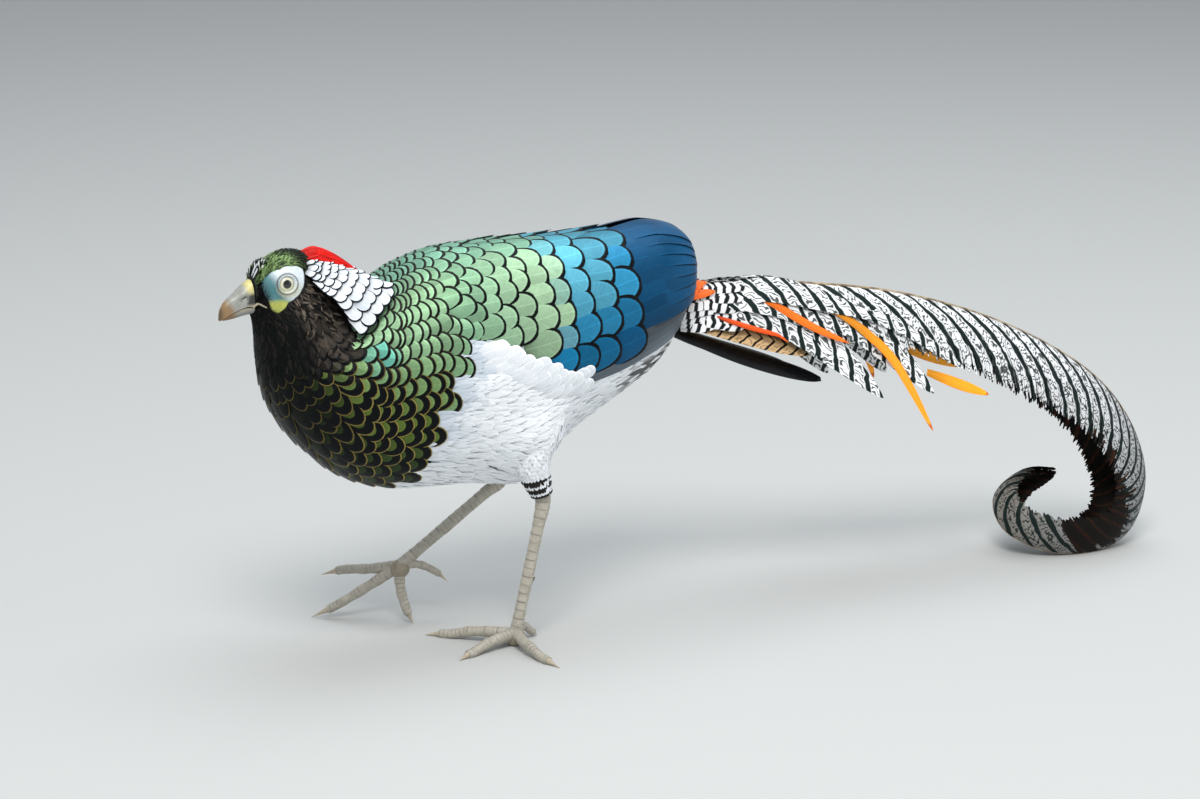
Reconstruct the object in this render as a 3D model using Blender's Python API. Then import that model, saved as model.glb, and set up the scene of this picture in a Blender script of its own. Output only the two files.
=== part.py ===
"""Lady Amherst's pheasant, male, walking: a still, life-size model in separate solids.

The bird faces -X with its left side towards -Y. Lengths here are millimetres in the bird's own
frame, whose zero is the floor under the left foot, and MM turns them into metres at the end.
"""

import bpy
import bmesh
import numpy as np
from math import radians, sin, cos, pi
from mathutils import Vector

MM = 0.001
GAP = 0.3
FLOOR = 0.0
SMALL = 1e-6
FLAT_ANGLE = 0.4

# Driving dimensions of the body. Each station is a slice through rump, body, neck and head:
# back x and z, belly x and z, half width, sideways place of its middle, turn of the head.
STATIONS = np.array([
    (133.0, 216.0, 129.0, 195.0, 9.0, 0.0, 0.0),
    (128.0, 230.5, 120.0, 173.0, 25.0, 0.0, 0.0),
    (112.0, 237.5, 106.0, 153.5, 35.0, 0.0, 0.0),
    (85.0, 240.5, 84.0, 140.0, 42.0, 0.0, 0.0),
    (55.0, 240.5, 57.0, 125.0, 47.0, 0.0, 0.0),
    (26.0, 241.0, 28.0, 107.0, 50.0, 0.0, 0.0),
    (-6.0, 241.0, -2.0, 98.0, 52.0, 0.0, 0.0),
    (-34.0, 239.5, -36.0, 97.0, 52.0, 0.0, 0.0),
    (-54.0, 234.0, -70.0, 99.5, 49.5, 0.0, 0.0),
    (-66.0, 228.0, -99.0, 111.0, 45.5, 0.0, 0.0),
    (-73.0, 224.0, -122.0, 131.0, 40.5, 0.0, 0.0),
    (-78.0, 219.0, -136.5, 150.0, 35.5, 0.0, 0.0),
    (-82.0, 217.5, -143.5, 168.0, 30.5, 0.0, 0.0),
    (-87.0, 220.5, -146.0, 184.0, 26.0, 0.0, 1.0),
    (-94.0, 228.0, -147.5, 196.0, 21.5, -1.0, 2.5),
    (-103.0, 236.5, -148.5, 203.0, 17.3, -1.6, 4.0),
    (-114.5, 245.0, -149.5, 208.5, 14.2, -2.3, 5.0),
    (-128.0, 248.5, -150.5, 212.0, 13.0, -3.0, 6.0),
    (-140.5, 244.5, -151.5, 214.0, 11.0, -3.8, 6.0),
    (-151.5, 235.0, -151.5, 215.5, 7.6, -4.6, 6.0),
])
NECK_START = 10.5
HEAD_START = 15.6
FACE_END = len(STATIONS) - 1.0
BODY_SIDES = 24

# Head and bill
HEAD_TURN = radians(6)
EYE_MIDDLE = Vector((-134.1, -2.1, 230.7))
EYE_SPREAD = 8.2
EYE_RADIUS = 6.2
LID_RADIUS = 5.0
LID_THICK = 0.85
FACE_PATCH = (11.5, 9.5, 1.7)
LAPPET = (4.6, 7.0, 1.5)
BILL_LENGTH = 20.0
BILL_WIDTH = 6.9
GAPE_BACK = 9.5
NOSTRIL = (6.2, 224.0)

# Legs
HIP_Y = 35.0
NEAR_HOCK = Vector((20.0, -HIP_Y, 86.0))
NEAR_FOOT = Vector((1.0, -HIP_Y, 7.0))
FAR_HOCK = Vector((27.0, HIP_Y, 83.0))
FAR_FOOT = Vector((-40.0, 41.0, 35.0))
TARSUS_RADIUS = 3.6
TOE_RADIUS = 3.0
PAD_RADIUS = 6.2

# Tail: the route of the long middle feathers' quills, root to tip
TAIL_ROUTE = [
    (112, -1, 194), (136, -2, 198), (160, -3, 199.5), (214, -7, 195), (286, -11, 182),
    (359, -16, 157), (421, -22, 122), (455, -26, 86), (469, -30, 46), (457, -35, 13.5),
    (428, -38, 0.8), (392, -34, 3.8), (368, -18, 16.5), (371, 1, 33), (397, 13, 42), (430, 19, 40),
]
TAIL_HALF_WIDTH = 40.0
TAIL_DROOP = radians(62)
TAIL_THICK = 0.9
TAIL_CUTS = (0.34, 0.555, 0.70, 0.84)
STUMP_LENGTH = 62.0


def smooth_through(knots, rows, t):
    """Cubic curve through the rows at the knots, read at t; slopes come from the neighbours."""
    knots = np.asarray(knots, float)
    rows = np.asarray(rows, float)
    if rows.ndim == 1:
        rows = rows[:, None]
    slope = np.gradient(rows, knots, axis=0)
    t = np.clip(np.asarray(t, float), knots[0], knots[-1])
    i = np.clip(np.searchsorted(knots, t, side="right") - 1, 0, len(knots) - 2)
    step = (knots[i + 1] - knots[i])[..., None]
    u = (t - knots[i])[..., None] / step
    a = rows[i] * (1 + 2 * u) * (1 - u) ** 2 + rows[i + 1] * u * u * (3 - 2 * u)
    return a + step * (slope[i] * u * (1 - u) ** 2 - slope[i + 1] * u * u * (1 - u))


def profile(pairs, t):
    """A smooth number along t, from (t, value) pairs."""
    knots, values = zip(*pairs)
    return smooth_through(knots, values, t)[..., 0]


def unit(v):
    return v / np.maximum(np.linalg.norm(v, axis=-1, keepdims=True), SMALL)


# Meshes


def make_object(name, vertices, faces):
    """An object from points in millimetres, with its faces turned outwards."""
    mesh = bpy.data.meshes.new(name)
    mesh.from_pydata([tuple(v) for v in vertices], [], faces)
    shell = bmesh.new()
    shell.from_mesh(mesh)
    bmesh.ops.recalc_face_normals(shell, faces=shell.faces)
    shell.to_mesh(mesh)
    shell.free()
    obj = bpy.data.objects.new(name, mesh)
    bpy.context.scene.collection.objects.link(obj)
    return obj


def loft(name, rings):
    """A closed solid through rings of equal point count, with a fan over each end."""
    rings = np.asarray(rings, float)
    count, sides = rings.shape[:2]
    points = list(rings.reshape(-1, 3)) + [rings[0].mean(axis=0), rings[-1].mean(axis=0)]
    faces = []
    for i in range(count - 1):
        for j in range(sides):
            k = (j + 1) % sides
            a, b, c, d = i * sides + j, i * sides + k, (i + 1) * sides + k, (i + 1) * sides + j
            faces += [(a, b, c), (a, c, d)]
    last = (count - 1) * sides
    for j in range(sides):
        k = (j + 1) % sides
        faces += [(count * sides, k, j), (count * sides + 1, last + j, last + k)]
    return make_object(name, points, faces)


def plate(name, top, bottom):
    """A thin closed vane from a grid of points over another, split alike on both faces."""
    top, bottom = np.asarray(top, float), np.asarray(bottom, float)
    rows, columns = top.shape[:2]
    half = rows * columns
    faces = []
    for i in range(rows - 1):
        for j in range(columns - 1):
            a, b = i * columns + j, i * columns + j + 1
            c, d = b + columns, a + columns
            faces += [(a, b, c), (a, c, d)]
            faces += [(half + b, half + a, half + c), (half + c, half + a, half + d)]
    rim = [j for j in range(columns)]
    rim += [i * columns + columns - 1 for i in range(1, rows)]
    rim += [(rows - 1) * columns + j for j in range(columns - 2, -1, -1)]
    rim += [i * columns for i in range(rows - 2, 0, -1)]
    for a, b in zip(rim, rim[1:] + rim[:1]):
        faces += [(b, a, half + a), (b, half + a, half + b)]
    return make_object(name, np.concatenate([top.reshape(-1, 3), bottom.reshape(-1, 3)]), faces)


def tube(name, points, radii, sides=8):
    """A round limb along points."""
    points = np.asarray(points, float)
    along = unit(np.gradient(points, axis=0))
    run = np.abs(points[-1] - points[0])
    guide = np.array((1.0, 0.0, 0.0)) if run[2] > run[0] else np.array((0.0, 0.0, 1.0))
    side = unit(np.cross(along, guide))
    over = np.cross(side, along)
    turn = np.arange(sides) * 2 * pi / sides
    radii = np.asarray(radii, float)[:, None, None]
    ring = side[:, None] * np.cos(turn)[None, :, None]
    ring = ring + over[:, None] * np.sin(turn)[None, :, None]
    return loft(name, points[:, None] + radii * ring)


def ball(name, centre, radii, axes=None, around=14, rows=8):
    """An ellipsoid; axes are the directions of its three radii."""
    axes = np.eye(3) if axes is None else np.asarray(axes, float)
    tilt = np.linspace(0.22, pi - 0.22, rows)
    turn = np.arange(around) * 2 * pi / around
    local = np.stack([np.outer(np.sin(tilt), np.cos(turn)), np.outer(np.sin(tilt), np.sin(turn)),
                      np.outer(np.cos(tilt), np.ones(around))], axis=-1)
    obj = loft(name, np.asarray(centre) + (local * np.asarray(radii)) @ axes)
    poles = len(obj.data.vertices)
    obj.data.vertices[poles - 2].co = Vector(np.asarray(centre) + radii[2] * axes[2])
    obj.data.vertices[poles - 1].co = Vector(np.asarray(centre) - radii[2] * axes[2])
    return obj


def remove(objects):
    for obj in objects:
        bpy.data.objects.remove(obj)


def largest_part(shell):
    """Drop every closed surface but the largest."""
    seen, best = set(), []
    for start in shell.verts:
        if start in seen:
            continue
        group, queue = [start], [start]
        seen.add(start)
        while queue:
            vertex = queue.pop()
            for edge in vertex.link_edges:
                other = edge.other_vert(vertex)
                if other not in seen:
                    seen.add(other)
                    group.append(other)
                    queue.append(other)
        if len(group) > len(best):
            best = group
    keep = set(best)
    bmesh.ops.delete(shell, geom=[v for v in shell.verts if v not in keep], context="VERTS")


def tidy_mesh(mesh):
    """Keep the largest closed surface, and merge what a Boolean leaves flat or doubled."""
    for merge in (0.004, 0.001, 0.0):
        shell = bmesh.new()
        shell.from_mesh(mesh)
        largest_part(shell)
        if merge:
            bmesh.ops.dissolve_limit(shell, angle_limit=radians(FLAT_ANGLE), verts=shell.verts,
                                     edges=shell.edges)
            bmesh.ops.triangulate(shell, faces=shell.faces)
            bmesh.ops.remove_doubles(shell, verts=shell.verts, dist=merge)
            bmesh.ops.dissolve_degenerate(shell, edges=shell.edges, dist=merge)
        bmesh.ops.triangulate(shell, faces=shell.faces)
        closed = all(edge.is_manifold for edge in shell.edges)
        if closed or not merge:
            shell.to_mesh(mesh)
        shell.free()
        if closed:
            return


def combine(obj, pieces, operation, solver="EXACT"):
    """One Boolean of the object with a collection of closed pieces, applied."""
    group = bpy.data.collections.new("pieces")
    bpy.context.scene.collection.children.link(group)
    for piece in pieces:
        bpy.context.scene.collection.objects.unlink(piece)
        group.objects.link(piece)
    cut = obj.modifiers.new("join", "BOOLEAN")
    cut.operation = operation
    cut.solver = solver
    cut.operand_type = "COLLECTION"
    cut.collection = group
    bpy.context.view_layer.update()
    result = bpy.data.meshes.new_from_object(obj.evaluated_get(bpy.context.evaluated_depsgraph_get()))
    obj.modifiers.clear()
    obj.data = result
    remove(pieces)
    bpy.data.collections.remove(group)
    tidy_mesh(obj.data)
    return obj


def fuse(obj, pieces):
    return combine(obj, pieces, "UNION", "MANIFOLD")


def carve(obj, pieces):
    return combine(obj, pieces, "DIFFERENCE", "MANIFOLD")


def finish(obj, name, colour, roughness=0.6, metallic=0.0):
    """Name a node and give it its colour."""
    obj.name = name
    obj.data.name = name
    material = bpy.data.materials.new(name)
    material.use_nodes = True
    shader = material.node_tree.nodes["Principled BSDF"]
    shader.inputs["Base Color"].default_value = (*colour, 1.0)
    shader.inputs["Roughness"].default_value = roughness
    shader.inputs["Metallic"].default_value = metallic
    obj.data.materials.clear()
    obj.data.materials.append(material)
    return obj


# Body surface


def body_ring(s, turn):
    """Point of the body at station s and angle turn: 0 along the back, pi/2 on the left side."""
    s, turn = np.broadcast_arrays(np.asarray(s, float), np.asarray(turn, float))
    row = smooth_through(np.arange(len(STATIONS)), STATIONS, s)
    back, belly = row[..., 0:2], row[..., 2:4]
    yaw = np.radians(row[..., 6])
    up = (back - belly) / 2
    middle = (back + belly) / 2
    ahead = np.stack([np.cos(yaw), np.sin(yaw), 0 * yaw], axis=-1)
    left = np.stack([np.sin(yaw), -np.cos(yaw), 0 * yaw], axis=-1)
    point = np.stack([middle[..., 0], row[..., 5], middle[..., 1]], axis=-1)
    rise = up[..., 0:1] * ahead + up[..., 1:2] * np.array((0.0, 0.0, 1.0))
    return point + np.cos(turn)[..., None] * rise + (np.sin(turn) * row[..., 4])[..., None] * left


def body(s, turn, lift=0.0):
    """The body surface, raised by lift along its outward normal."""
    s, turn, lift = np.broadcast_arrays(*(np.asarray(a, float) for a in (s, turn, lift)))
    s_in = np.clip(s, 0.03, FACE_END - 0.03)
    along = body_ring(s_in + 0.02, turn) - body_ring(s_in - 0.02, turn)
    round_ = body_ring(s_in, turn + 0.02) - body_ring(s_in, turn - 0.02)
    return body_ring(s, turn) + lift[..., None] * unit(np.cross(along, round_))


def body_solid(name, start, end, steps, grow=0.0, shift=0.0):
    """The body between two stations; shift moves its first ring along the slice's normal."""
    turn = np.arange(BODY_SIDES) * 2 * pi / BODY_SIDES
    rings = np.stack([body(s, turn, grow) for s in np.linspace(start, end, steps)])
    flat = unit(np.cross(rings[0][1] - rings[0][0], rings[0][8] - rings[0][0]))
    rings[0] += shift * flat * (1 if flat @ (rings[1] - rings[0]).mean(axis=0) > 0 else -1)
    return loft(name, rings)


def torso_grown():
    return body_solid("torso grown", 0.0, NECK_START, 15, GAP)


# Vanes: each feather is a thin lens that follows a surface, its root sunk and its tip lifted


def vane(name, surface, start, end, half, lift, thick=1.1, segments=3):
    """A feather on surface(u, v, lift), from its root at start to its tip at end, both (u, v).

    half(t) is its half width in v, and lift(t) its height, as t goes from root to tip.
    """
    t = np.linspace(0.0, 1.0, segments + 1)
    u = start[0] + (end[0] - start[0]) * t
    v = start[1] + (end[1] - start[1]) * t
    high, wide = lift(t), half(t)
    middle = surface(u, v, high)
    step = 1e-3
    by_u = surface(u + step, v, high) - surface(u - step, v, high)
    by_v = surface(u, v + step, high) - surface(u, v - step, high)
    out = unit(np.cross(by_u, by_v)) * thick / 2
    out[-1] *= 0.4
    points = np.stack([surface(u, v + wide, high), middle + out,
                       surface(u, v - wide, high), middle - out], axis=1)
    faces = []
    for i in range(segments):
        a, t0, b, u0 = range(4 * i, 4 * i + 4)
        c, t1, d, u1 = range(4 * i + 4, 4 * i + 8)
        faces += [(a, t0, t1), (a, t1, c), (t0, b, t1), (b, d, t1)]
        faces += [(a, u1, u0), (a, c, u1), (u0, u1, b), (b, u1, d)]
    last = 4 * segments
    faces += [(0, 3, 1), (1, 3, 2), (last, last + 1, last + 3), (last + 1, last + 2, last + 3)]
    return make_object(name, points.reshape(-1, 3), faces)


def blade(half, root=0.55, tip=0.35, full=0.6):
    """Half width along a feather: narrow at the quill, full near the end, then rounded."""
    pairs = [(0.0, half * root), (full, half), (0.85, half * 0.92), (1.0, half * tip)]
    return lambda t: profile(pairs, t)


def rising(root, clear, tip):
    """Height along a feather: sunk at the root, clear of its core by a third, free at the tip."""
    return lambda t: profile([(0.0, root), (0.34, clear), (1.0, tip)], t)


# Torso, neck and head


def make_torso():
    return body_solid("torso", 0.0, NECK_START, 15)


CAPE_ROOT = [(-1.0, (-119.0, 13.5, 235.0)), (-0.5, (-113.0, 9.5, 240.5)),
             (0.0, (-111.0, -0.5, 242.0)), (0.5, (-113.0, -11.5, 240.5)), (1.0, (-119.0, -16.5, 235.0))]
CAPE_RIM = [(-1.0, (-99.0, 37.5, 203.0)), (-0.75, (-82.0, 34.0, 212.0)), (-0.5, (-68.0, 24.0, 222.0)),
            (-0.25, (-70.5, 13.0, 224.5)), (0.0, (-75.0, 0.0, 222.5)), (0.25, (-70.5, -13.0, 224.5)),
            (0.5, (-68.0, -24.0, 222.0)), (0.75, (-82.0, -34.0, 212.0)), (1.0, (-99.0, -37.5, 203.0))]
CAPE_SWELL = 4.0
CAPE_ROWS = 4


def cape(u, v, lift=0.0):
    """The cape behind the head: u from its root on the nape to its rim, v from right to left."""
    u, v, lift = np.broadcast_arrays(*(np.asarray(a, float) for a in (u, v, lift)))

    def sheet(u, v):
        start = smooth_through(*zip(*CAPE_ROOT), v)
        end = smooth_through(*zip(*CAPE_RIM), v)
        out = unit((start + end) / 2 - np.array((-106.0, 0.0, 208.0)))
        swell = CAPE_SWELL * np.sin(pi * u) * (0.1 + 0.9 * np.abs(v))
        return start + (end - start) * u[..., None] + swell[..., None] * out

    across = sheet(u + 1e-3, v) - sheet(u - 1e-3, v)
    round_ = sheet(u, v + 1e-3) - sheet(u, v - 1e-3)
    return sheet(u, v) + lift[..., None] * unit(np.cross(round_, across))


def make_neck():
    """The neck, with the cape's feathers in rows that lengthen towards the rim."""
    neck = body_solid("neck", NECK_START, HEAD_START, 8, 0.0, GAP)
    rng = np.random.default_rng(5)
    u, v = np.linspace(0.10, 0.72, 4)[:, None], np.linspace(-0.96, 0.96, 9)[None, :]
    pieces = [plate("cape core", cape(u, v, 0.0), cape(u, v, -11.0 + 7.0 * u))]
    for row in range(CAPE_ROWS):
        count = 5 + row
        pitch = 1.9 / count
        start = 0.06 + 0.19 * row
        for place in range(count):
            v = (place - (count - 1) / 2) * pitch + 0.02 * (1 + row % 2)
            end = start + 0.38 + rng.uniform(-0.025, 0.025)
            pieces.append(vane("cape feather", cape, (start, v), (min(end, 1.04), v),
                               blade(0.47 * pitch, 0.8), rising(-0.9, 0.9, 2.2), 1.0))
    fuse(neck, pieces)
    head_grown = body_solid("head grown", HEAD_START, FACE_END, 9, GAP, 0.05)
    carve(neck, [head_grown, crest_bed()])
    return carve(neck, [torso_grown()])


def head_axes():
    ahead = np.array((-cos(HEAD_TURN), -sin(HEAD_TURN), 0.0))
    left = np.array((sin(HEAD_TURN), -cos(HEAD_TURN), 0.0))
    return ahead, left, np.array((0.0, 0.0, 1.0))


def eye_centre(side):
    """The eyeball's middle; side is 1 on the left and -1 on the right."""
    return np.array(EYE_MIDDLE) + side * EYE_SPREAD * head_axes()[1]


def eye_axes(side):
    """Across, up and outward directions of one eye."""
    ahead, left, up = head_axes()
    out = unit(side * left + 0.12 * ahead + 0.04 * up)
    across = unit(np.cross(up, out))
    return np.array([across, np.cross(out, across), out])


def eye_ball(side, grow=0.0):
    size = EYE_RADIUS + grow
    return ball("eye", eye_centre(side), (size, size, size), eye_axes(side), 14, 8)


def lid_ring(side, around=12, sides=5):
    """The raised rim of the two lids round an eye."""
    across, up, out = eye_axes(side)
    points = []
    for angle in np.arange(around) * 2 * pi / around:
        spoke = cos(angle) * across + 0.92 * sin(angle) * up
        middle = eye_centre(side) + LID_RADIUS * spoke + out * (EYE_RADIUS - 1.9)
        points += [middle + LID_THICK * (cos(a) * spoke + 1.2 * sin(a) * out)
                   for a in np.arange(sides) * 2 * pi / sides]
    faces = []
    for i in range(around):
        for j in range(sides):
            a, b = i * sides + j, i * sides + (j + 1) % sides
            c, d = (i + 1) % around * sides + (j + 1) % sides, (i + 1) % around * sides + j
            faces += [(a, b, c), (a, c, d)]
    return make_object("lids", points, faces)


CREST_ROUTE = [(0.0, (-122.0, -2.0, 246.0)), (0.25, (-111.0, -1.2, 246.3)), (0.5, (-99.0, -0.5, 241.2)),
               (0.75, (-88.0, -0.2, 233.0)), (1.0, (-78.5, 0.0, 224.5))]
CREST_SPREAD = 5.0
CREST_ROWS = 2


def crest(u, v, lift=0.0):
    """The narrow crest down the nape: u along it, v from right to left across it."""
    u, v, lift = np.broadcast_arrays(*(np.asarray(a, float) for a in (u, v, lift)))

    def sheet(u, v):
        line = smooth_through(*zip(*CREST_ROUTE), u)
        return line + np.stack([0 * v, -CREST_SPREAD * v, -0.9 * CREST_SPREAD * v * v], axis=-1)

    along = sheet(u + 1e-3, v) - sheet(u - 1e-3, v)
    across = sheet(u, v + 1e-3) - sheet(u, v - 1e-3)
    return sheet(u, v) + lift[..., None] * unit(np.cross(across, along))


def crest_feathers():
    """The crest's feathers, in two rows down the nape."""
    rng = np.random.default_rng(8)
    feathers = []
    for row in range(CREST_ROWS):
        count = 4 - row
        pitch = 2.0 / count
        height = 0.3 + 1.7 * (1 - row)
        for place in range(count):
            v = (place - (count - 1) / 2) * pitch
            start, end = 0.02 + 0.16 * row, 0.80 + 0.2 * row + rng.uniform(-0.03, 0.03)
            feathers.append(vane("crest feather", crest, (start, v), (end, v), blade(0.46 * pitch, 0.7, 0.2),
                                 rising(-2.5, height, height), 1.4, 4))
    return feathers


def crest_bed():
    """What the cape leaves free for the crest to lie in."""
    u, v = np.linspace(0.08, 1.06, 8)[:, None], np.linspace(-1.12, 1.12, 4)[None, :]
    under = -1.3 - 4.2 * np.maximum(1 - u / 0.45, 0.0)
    return plate("crest bed", crest(u, v, 9.0), crest(u, v, under))


def bill_section(forward, culmen, tomium, half, keel):
    """One slice of the upper bill: flat below at the mouth, rounded over the culmen."""
    ahead, left, up = head_axes()
    base = np.array((-151.8, -4.6, 0.0)) + forward * ahead
    turn = np.linspace(0.0, pi, 7)
    side = half * np.sign(np.cos(turn)) * np.abs(np.cos(turn)) ** 0.8
    high = tomium + (culmen - tomium) * np.sin(turn) ** keel
    return [base + a * left + b * up for a, b in zip(side, high)]


UPPER_BILL = [(0.0, 233.6, 218.6, 1.0), (0.25, 230.6, 219.0, 0.9), (0.5, 226.6, 217.4, 0.74),
              (0.72, 223.6, 215.3, 0.57), (0.88, 220.4, 213.4, 0.40), (0.97, 216.6, 212.1, 0.24),
              (1.0, 213.4, 211.6, 0.10)]
LOWER_BILL = [(0.0, 218.2, 213.9, 0.92), (0.3, 218.5, 213.0, 0.78), (0.55, 216.6, 212.1, 0.58),
              (0.78, 214.3, 211.6, 0.38), (0.88, 213.1, 211.5, 0.2)]


def make_bill():
    upper, lower = [], []
    for part, culmen, tomium, half in UPPER_BILL:
        upper.append(bill_section(GAP + part * BILL_LENGTH, culmen, tomium, half * BILL_WIDTH, 1.0))
    for part, top, under, half in LOWER_BILL:
        upside = bill_section(GAP + part * BILL_LENGTH, under, top - GAP, half * BILL_WIDTH, 1.2)
        lower.append(upside)
    top_bill = loft("bill_upper", upper)
    ahead, left, up = head_axes()
    pits = []
    for side in (1, -1):
        place = np.array((-151.8, -4.6, 0.0)) + NOSTRIL[0] * ahead + NOSTRIL[1] * up
        pits.append(ball("nostril", place + side * 5.2 * left, (2.2, 1.6, 0.9),
                         np.array([ahead, left, up]), 10, 5))
    carve(top_bill, pits)
    finish(top_bill, "bill_upper", (0.62, 0.58, 0.50), 0.4)
    finish(loft("bill_lower", lower), "bill_lower", (0.58, 0.52, 0.42), 0.4)


def make_head():
    """The head, with its face skin, lappets, lids, mouth corners and the narrow crest."""
    head = body_solid("head", HEAD_START, FACE_END, 9, 0.0, GAP)
    ahead, left, up = head_axes()
    pieces = []
    for side in (1, -1):
        across, rise, out = axes = eye_axes(side)
        skin = eye_centre(side) + out * (EYE_RADIUS - 2.6) - 1.5 * rise
        pieces.append(ball("face skin", skin, FACE_PATCH, axes, 12, 5))
        low = eye_centre(side) + out * (EYE_RADIUS - 2.6) - 8.2 * rise + 3.2 * ahead
        pieces.append(ball("lappet", low, LAPPET, axes, 8, 5))
        for piece in pieces[-2:]:
            carve(piece, [body_solid("neck grown", NECK_START + 3.0, HEAD_START, 6, 2.5)])
        pieces.append(lid_ring(side))
    fuse(head, pieces + crest_feathers())
    holes = [eye_ball(side, GAP) for side in (1, -1)]
    for side in (1, -1):
        corner = np.array((-151.8, -4.6, 218.4)) + side * 7.4 * left
        gape = corner - GAPE_BACK * ahead + side * 4.4 * left - 4.2 * up
        line = np.array([corner + 1.5 * ahead, (corner + gape) / 2 + 0.6 * up, gape])
        holes.append(tube("mouth corner", line, (0.6, 0.6, 0.4), 4))
    return carve(head, holes)


def make_eyes():
    for side, word in ((1, "left"), (-1, "right")):
        finish(eye_ball(side), "eye_" + word, (0.80, 0.76, 0.52), 0.1)


# Wings


WING_FRONT, WING_BACK = 8.1, 0.45
WING_TOP = [(0.0, 30.0), (0.3, 20.0), (0.7, 13.0), (1.0, 12.0)]
WING_LOW = [(0.0, 58.0), (0.15, 80.0), (0.32, 100.0), (0.5, 110.0), (0.75, 112.0), (0.92, 105.0),
            (1.0, 88.0), (1.12, 80.0)]


def wing_surface(side):
    """The closed wing over the body: u from shoulder to wing tip, v from lower edge to back."""
    def surface(u, v, lift=0.0):
        u, v, lift = np.broadcast_arrays(*(np.asarray(a, float) for a in (u, v, lift)))
        s = WING_FRONT + (WING_BACK - WING_FRONT) * u
        low, top = profile(WING_LOW, u), profile(WING_TOP, u)
        turn = np.radians(low + (top - low) * v)
        point = body(s, side * turn, lift)
        past = np.maximum(u - 1.0, 0.0)[..., None]
        return point + past * np.array((150.0, side * 24.0, -26.0))
    return surface


WING_CORE = 1.6
WING_TIERS = [
    # name, count, root u, tip u at the sides and in the middle, v range at root and at tip
    ("primary", 4, 0.46, (0.99, 1.05), (0.06, 0.22), (0.02, 0.36)),
    ("secondary", 6, 0.50, (0.96, 1.07), (0.22, 0.90), (0.36, 0.98)),
    ("greater covert", 6, 0.36, (0.68, 0.73), (0.03, 0.97), (0.03, 0.98)),
    ("median covert", 6, 0.20, (0.50, 0.54), (0.03, 0.97), (0.03, 0.98)),
    ("lesser covert", 5, 0.06, (0.33, 0.37), (0.08, 0.94), (0.06, 0.96)),
]


def make_wing(side, word):
    """A folded wing: a thin core with its flight feathers and coverts in overlapping tiers."""
    surface = wing_surface(side)
    u, v = np.linspace(0.02, 0.92, 8)[:, None], np.linspace(0.05, 0.97, 6)[None, :]
    core = plate("wing core", surface(u, v, WING_CORE), surface(u, v, -3.0))
    rng = np.random.default_rng(21)
    pieces = []
    for name, count, root, tips, root_v, tip_v in WING_TIERS:
        pitch = (tip_v[1] - tip_v[0]) / count
        for place in range(count):
            part = (place + 0.5) / count
            reach = tips[0] + (tips[1] - tips[0]) * (1 - abs(2 * part - 1)) + rng.uniform(-0.008, 0.008)
            start = (root + 0.04 * part, root_v[0] + (root_v[1] - root_v[0]) * part)
            end = (reach, tip_v[0] + (tip_v[1] - tip_v[0]) * part)
            narrow = min(1.0, (root_v[1] - root_v[0]) / (tip_v[1] - tip_v[0]))
            pieces.append(vane(name, surface, start, end, blade(0.47 * pitch, 0.9 * narrow, 0.5, 0.7),
                               rising(WING_CORE - 1.2, WING_CORE + 1.0, WING_CORE + 2.6)))
    fuse(core, pieces)
    carve(core, [torso_grown()])
    return finish(core, "wing_" + word, (0.03, 0.16, 0.28), 0.35, 0.3)


# Legs


def thigh_route(side, hock):
    """From the hip down to the cuff of feathers just over the hock."""
    hip = np.array((24.0, side * -26.0, 146.0))
    knee = np.array((hock.x - 8.0, hock.y, hock.z + 31.0))
    cuff = np.array((hock.x - 1.0, hock.y, hock.z + 5.5))
    return smooth_through((0, 1, 2), [hip, knee, cuff], np.linspace(0, 2, 7))


def make_thigh(side, hock, word):
    """The feathered thigh, from inside the flank to the hock."""
    thigh = tube("thigh", thigh_route(side, hock), (18, 18.5, 16.5, 13.0, 10.5, 8.4, 6.4), 12)
    carve(thigh, [torso_grown()])
    return finish(thigh, "thigh_" + word, (0.85, 0.85, 0.83), 0.8)


def toe_pad(foot, grow=0.0):
    size = PAD_RADIUS + grow
    pad = ball("pad", (foot.x, foot.y, foot.z - 2.0), (size, size, size * 0.9), None, 10, 6)
    for vertex in pad.data.vertices:
        vertex.co.z = max(vertex.co.z, FLOOR)
    return pad


def make_tarsus(side, hock, foot, word):
    """The scaly lower leg with its hock, spur and the pad that the toes spread from."""
    thigh = thigh_route(side, hock)
    down = unit(thigh[-1] - thigh[-2])
    points = [thigh[-1] + reach * down for reach in (GAP, 2.5)]
    points += [np.array(hock.lerp(foot, part)) for part in (0.02, 0.14, 0.5, 0.85, 1.0)]
    leg = tube("tarsus", points, (4.6, 4.8, 4.5, 3.8, TARSUS_RADIUS, 3.5, 4.0), 8)
    base = hock.lerp(foot, 0.62)
    spur = tube("spur", [base, base + Vector((3.6, side * 1.5, 0.6)),
                         base + Vector((7.5, side * 3.0, 2.4))], (2.2, 1.6, 0.4), 6)
    fuse(leg, [spur, toe_pad(foot)])
    return finish(leg, "tarsus_" + word, (0.55, 0.55, 0.52), 0.6)


NEAR_TOES = {"hallux": ((8, 6, 2.0), (15, 9, -3.0), (20, 11, -6.5)),
             "inner": ((-17, 18, -1.0), (-30, 32, -5.0), (-40, 42, -6.8)),
             "middle": ((-18, -4, -1.0), (-33, -8, -5.0), (-43, -12, -6.8)),
             "outer": ((-2, -19, -1.0), (0, -37, -5.0), (3, -52, -6.8))}
FAR_TOES = {"hallux": ((11, -2, 0.0), (22, -4, -5.5), (30, -5, -13.0)),
            "inner": ((-1, -3, -13.0), (1, -7, -26.0), (4, -10, -34.8)),
            "middle": ((-16, 10, -13.0), (-33, 22, -26.5), (-46, 31, -34.8)),
            "outer": ((-13, 15, -4.0), (-24, 30, -7.0), (-34, 42, -12.0))}


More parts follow.
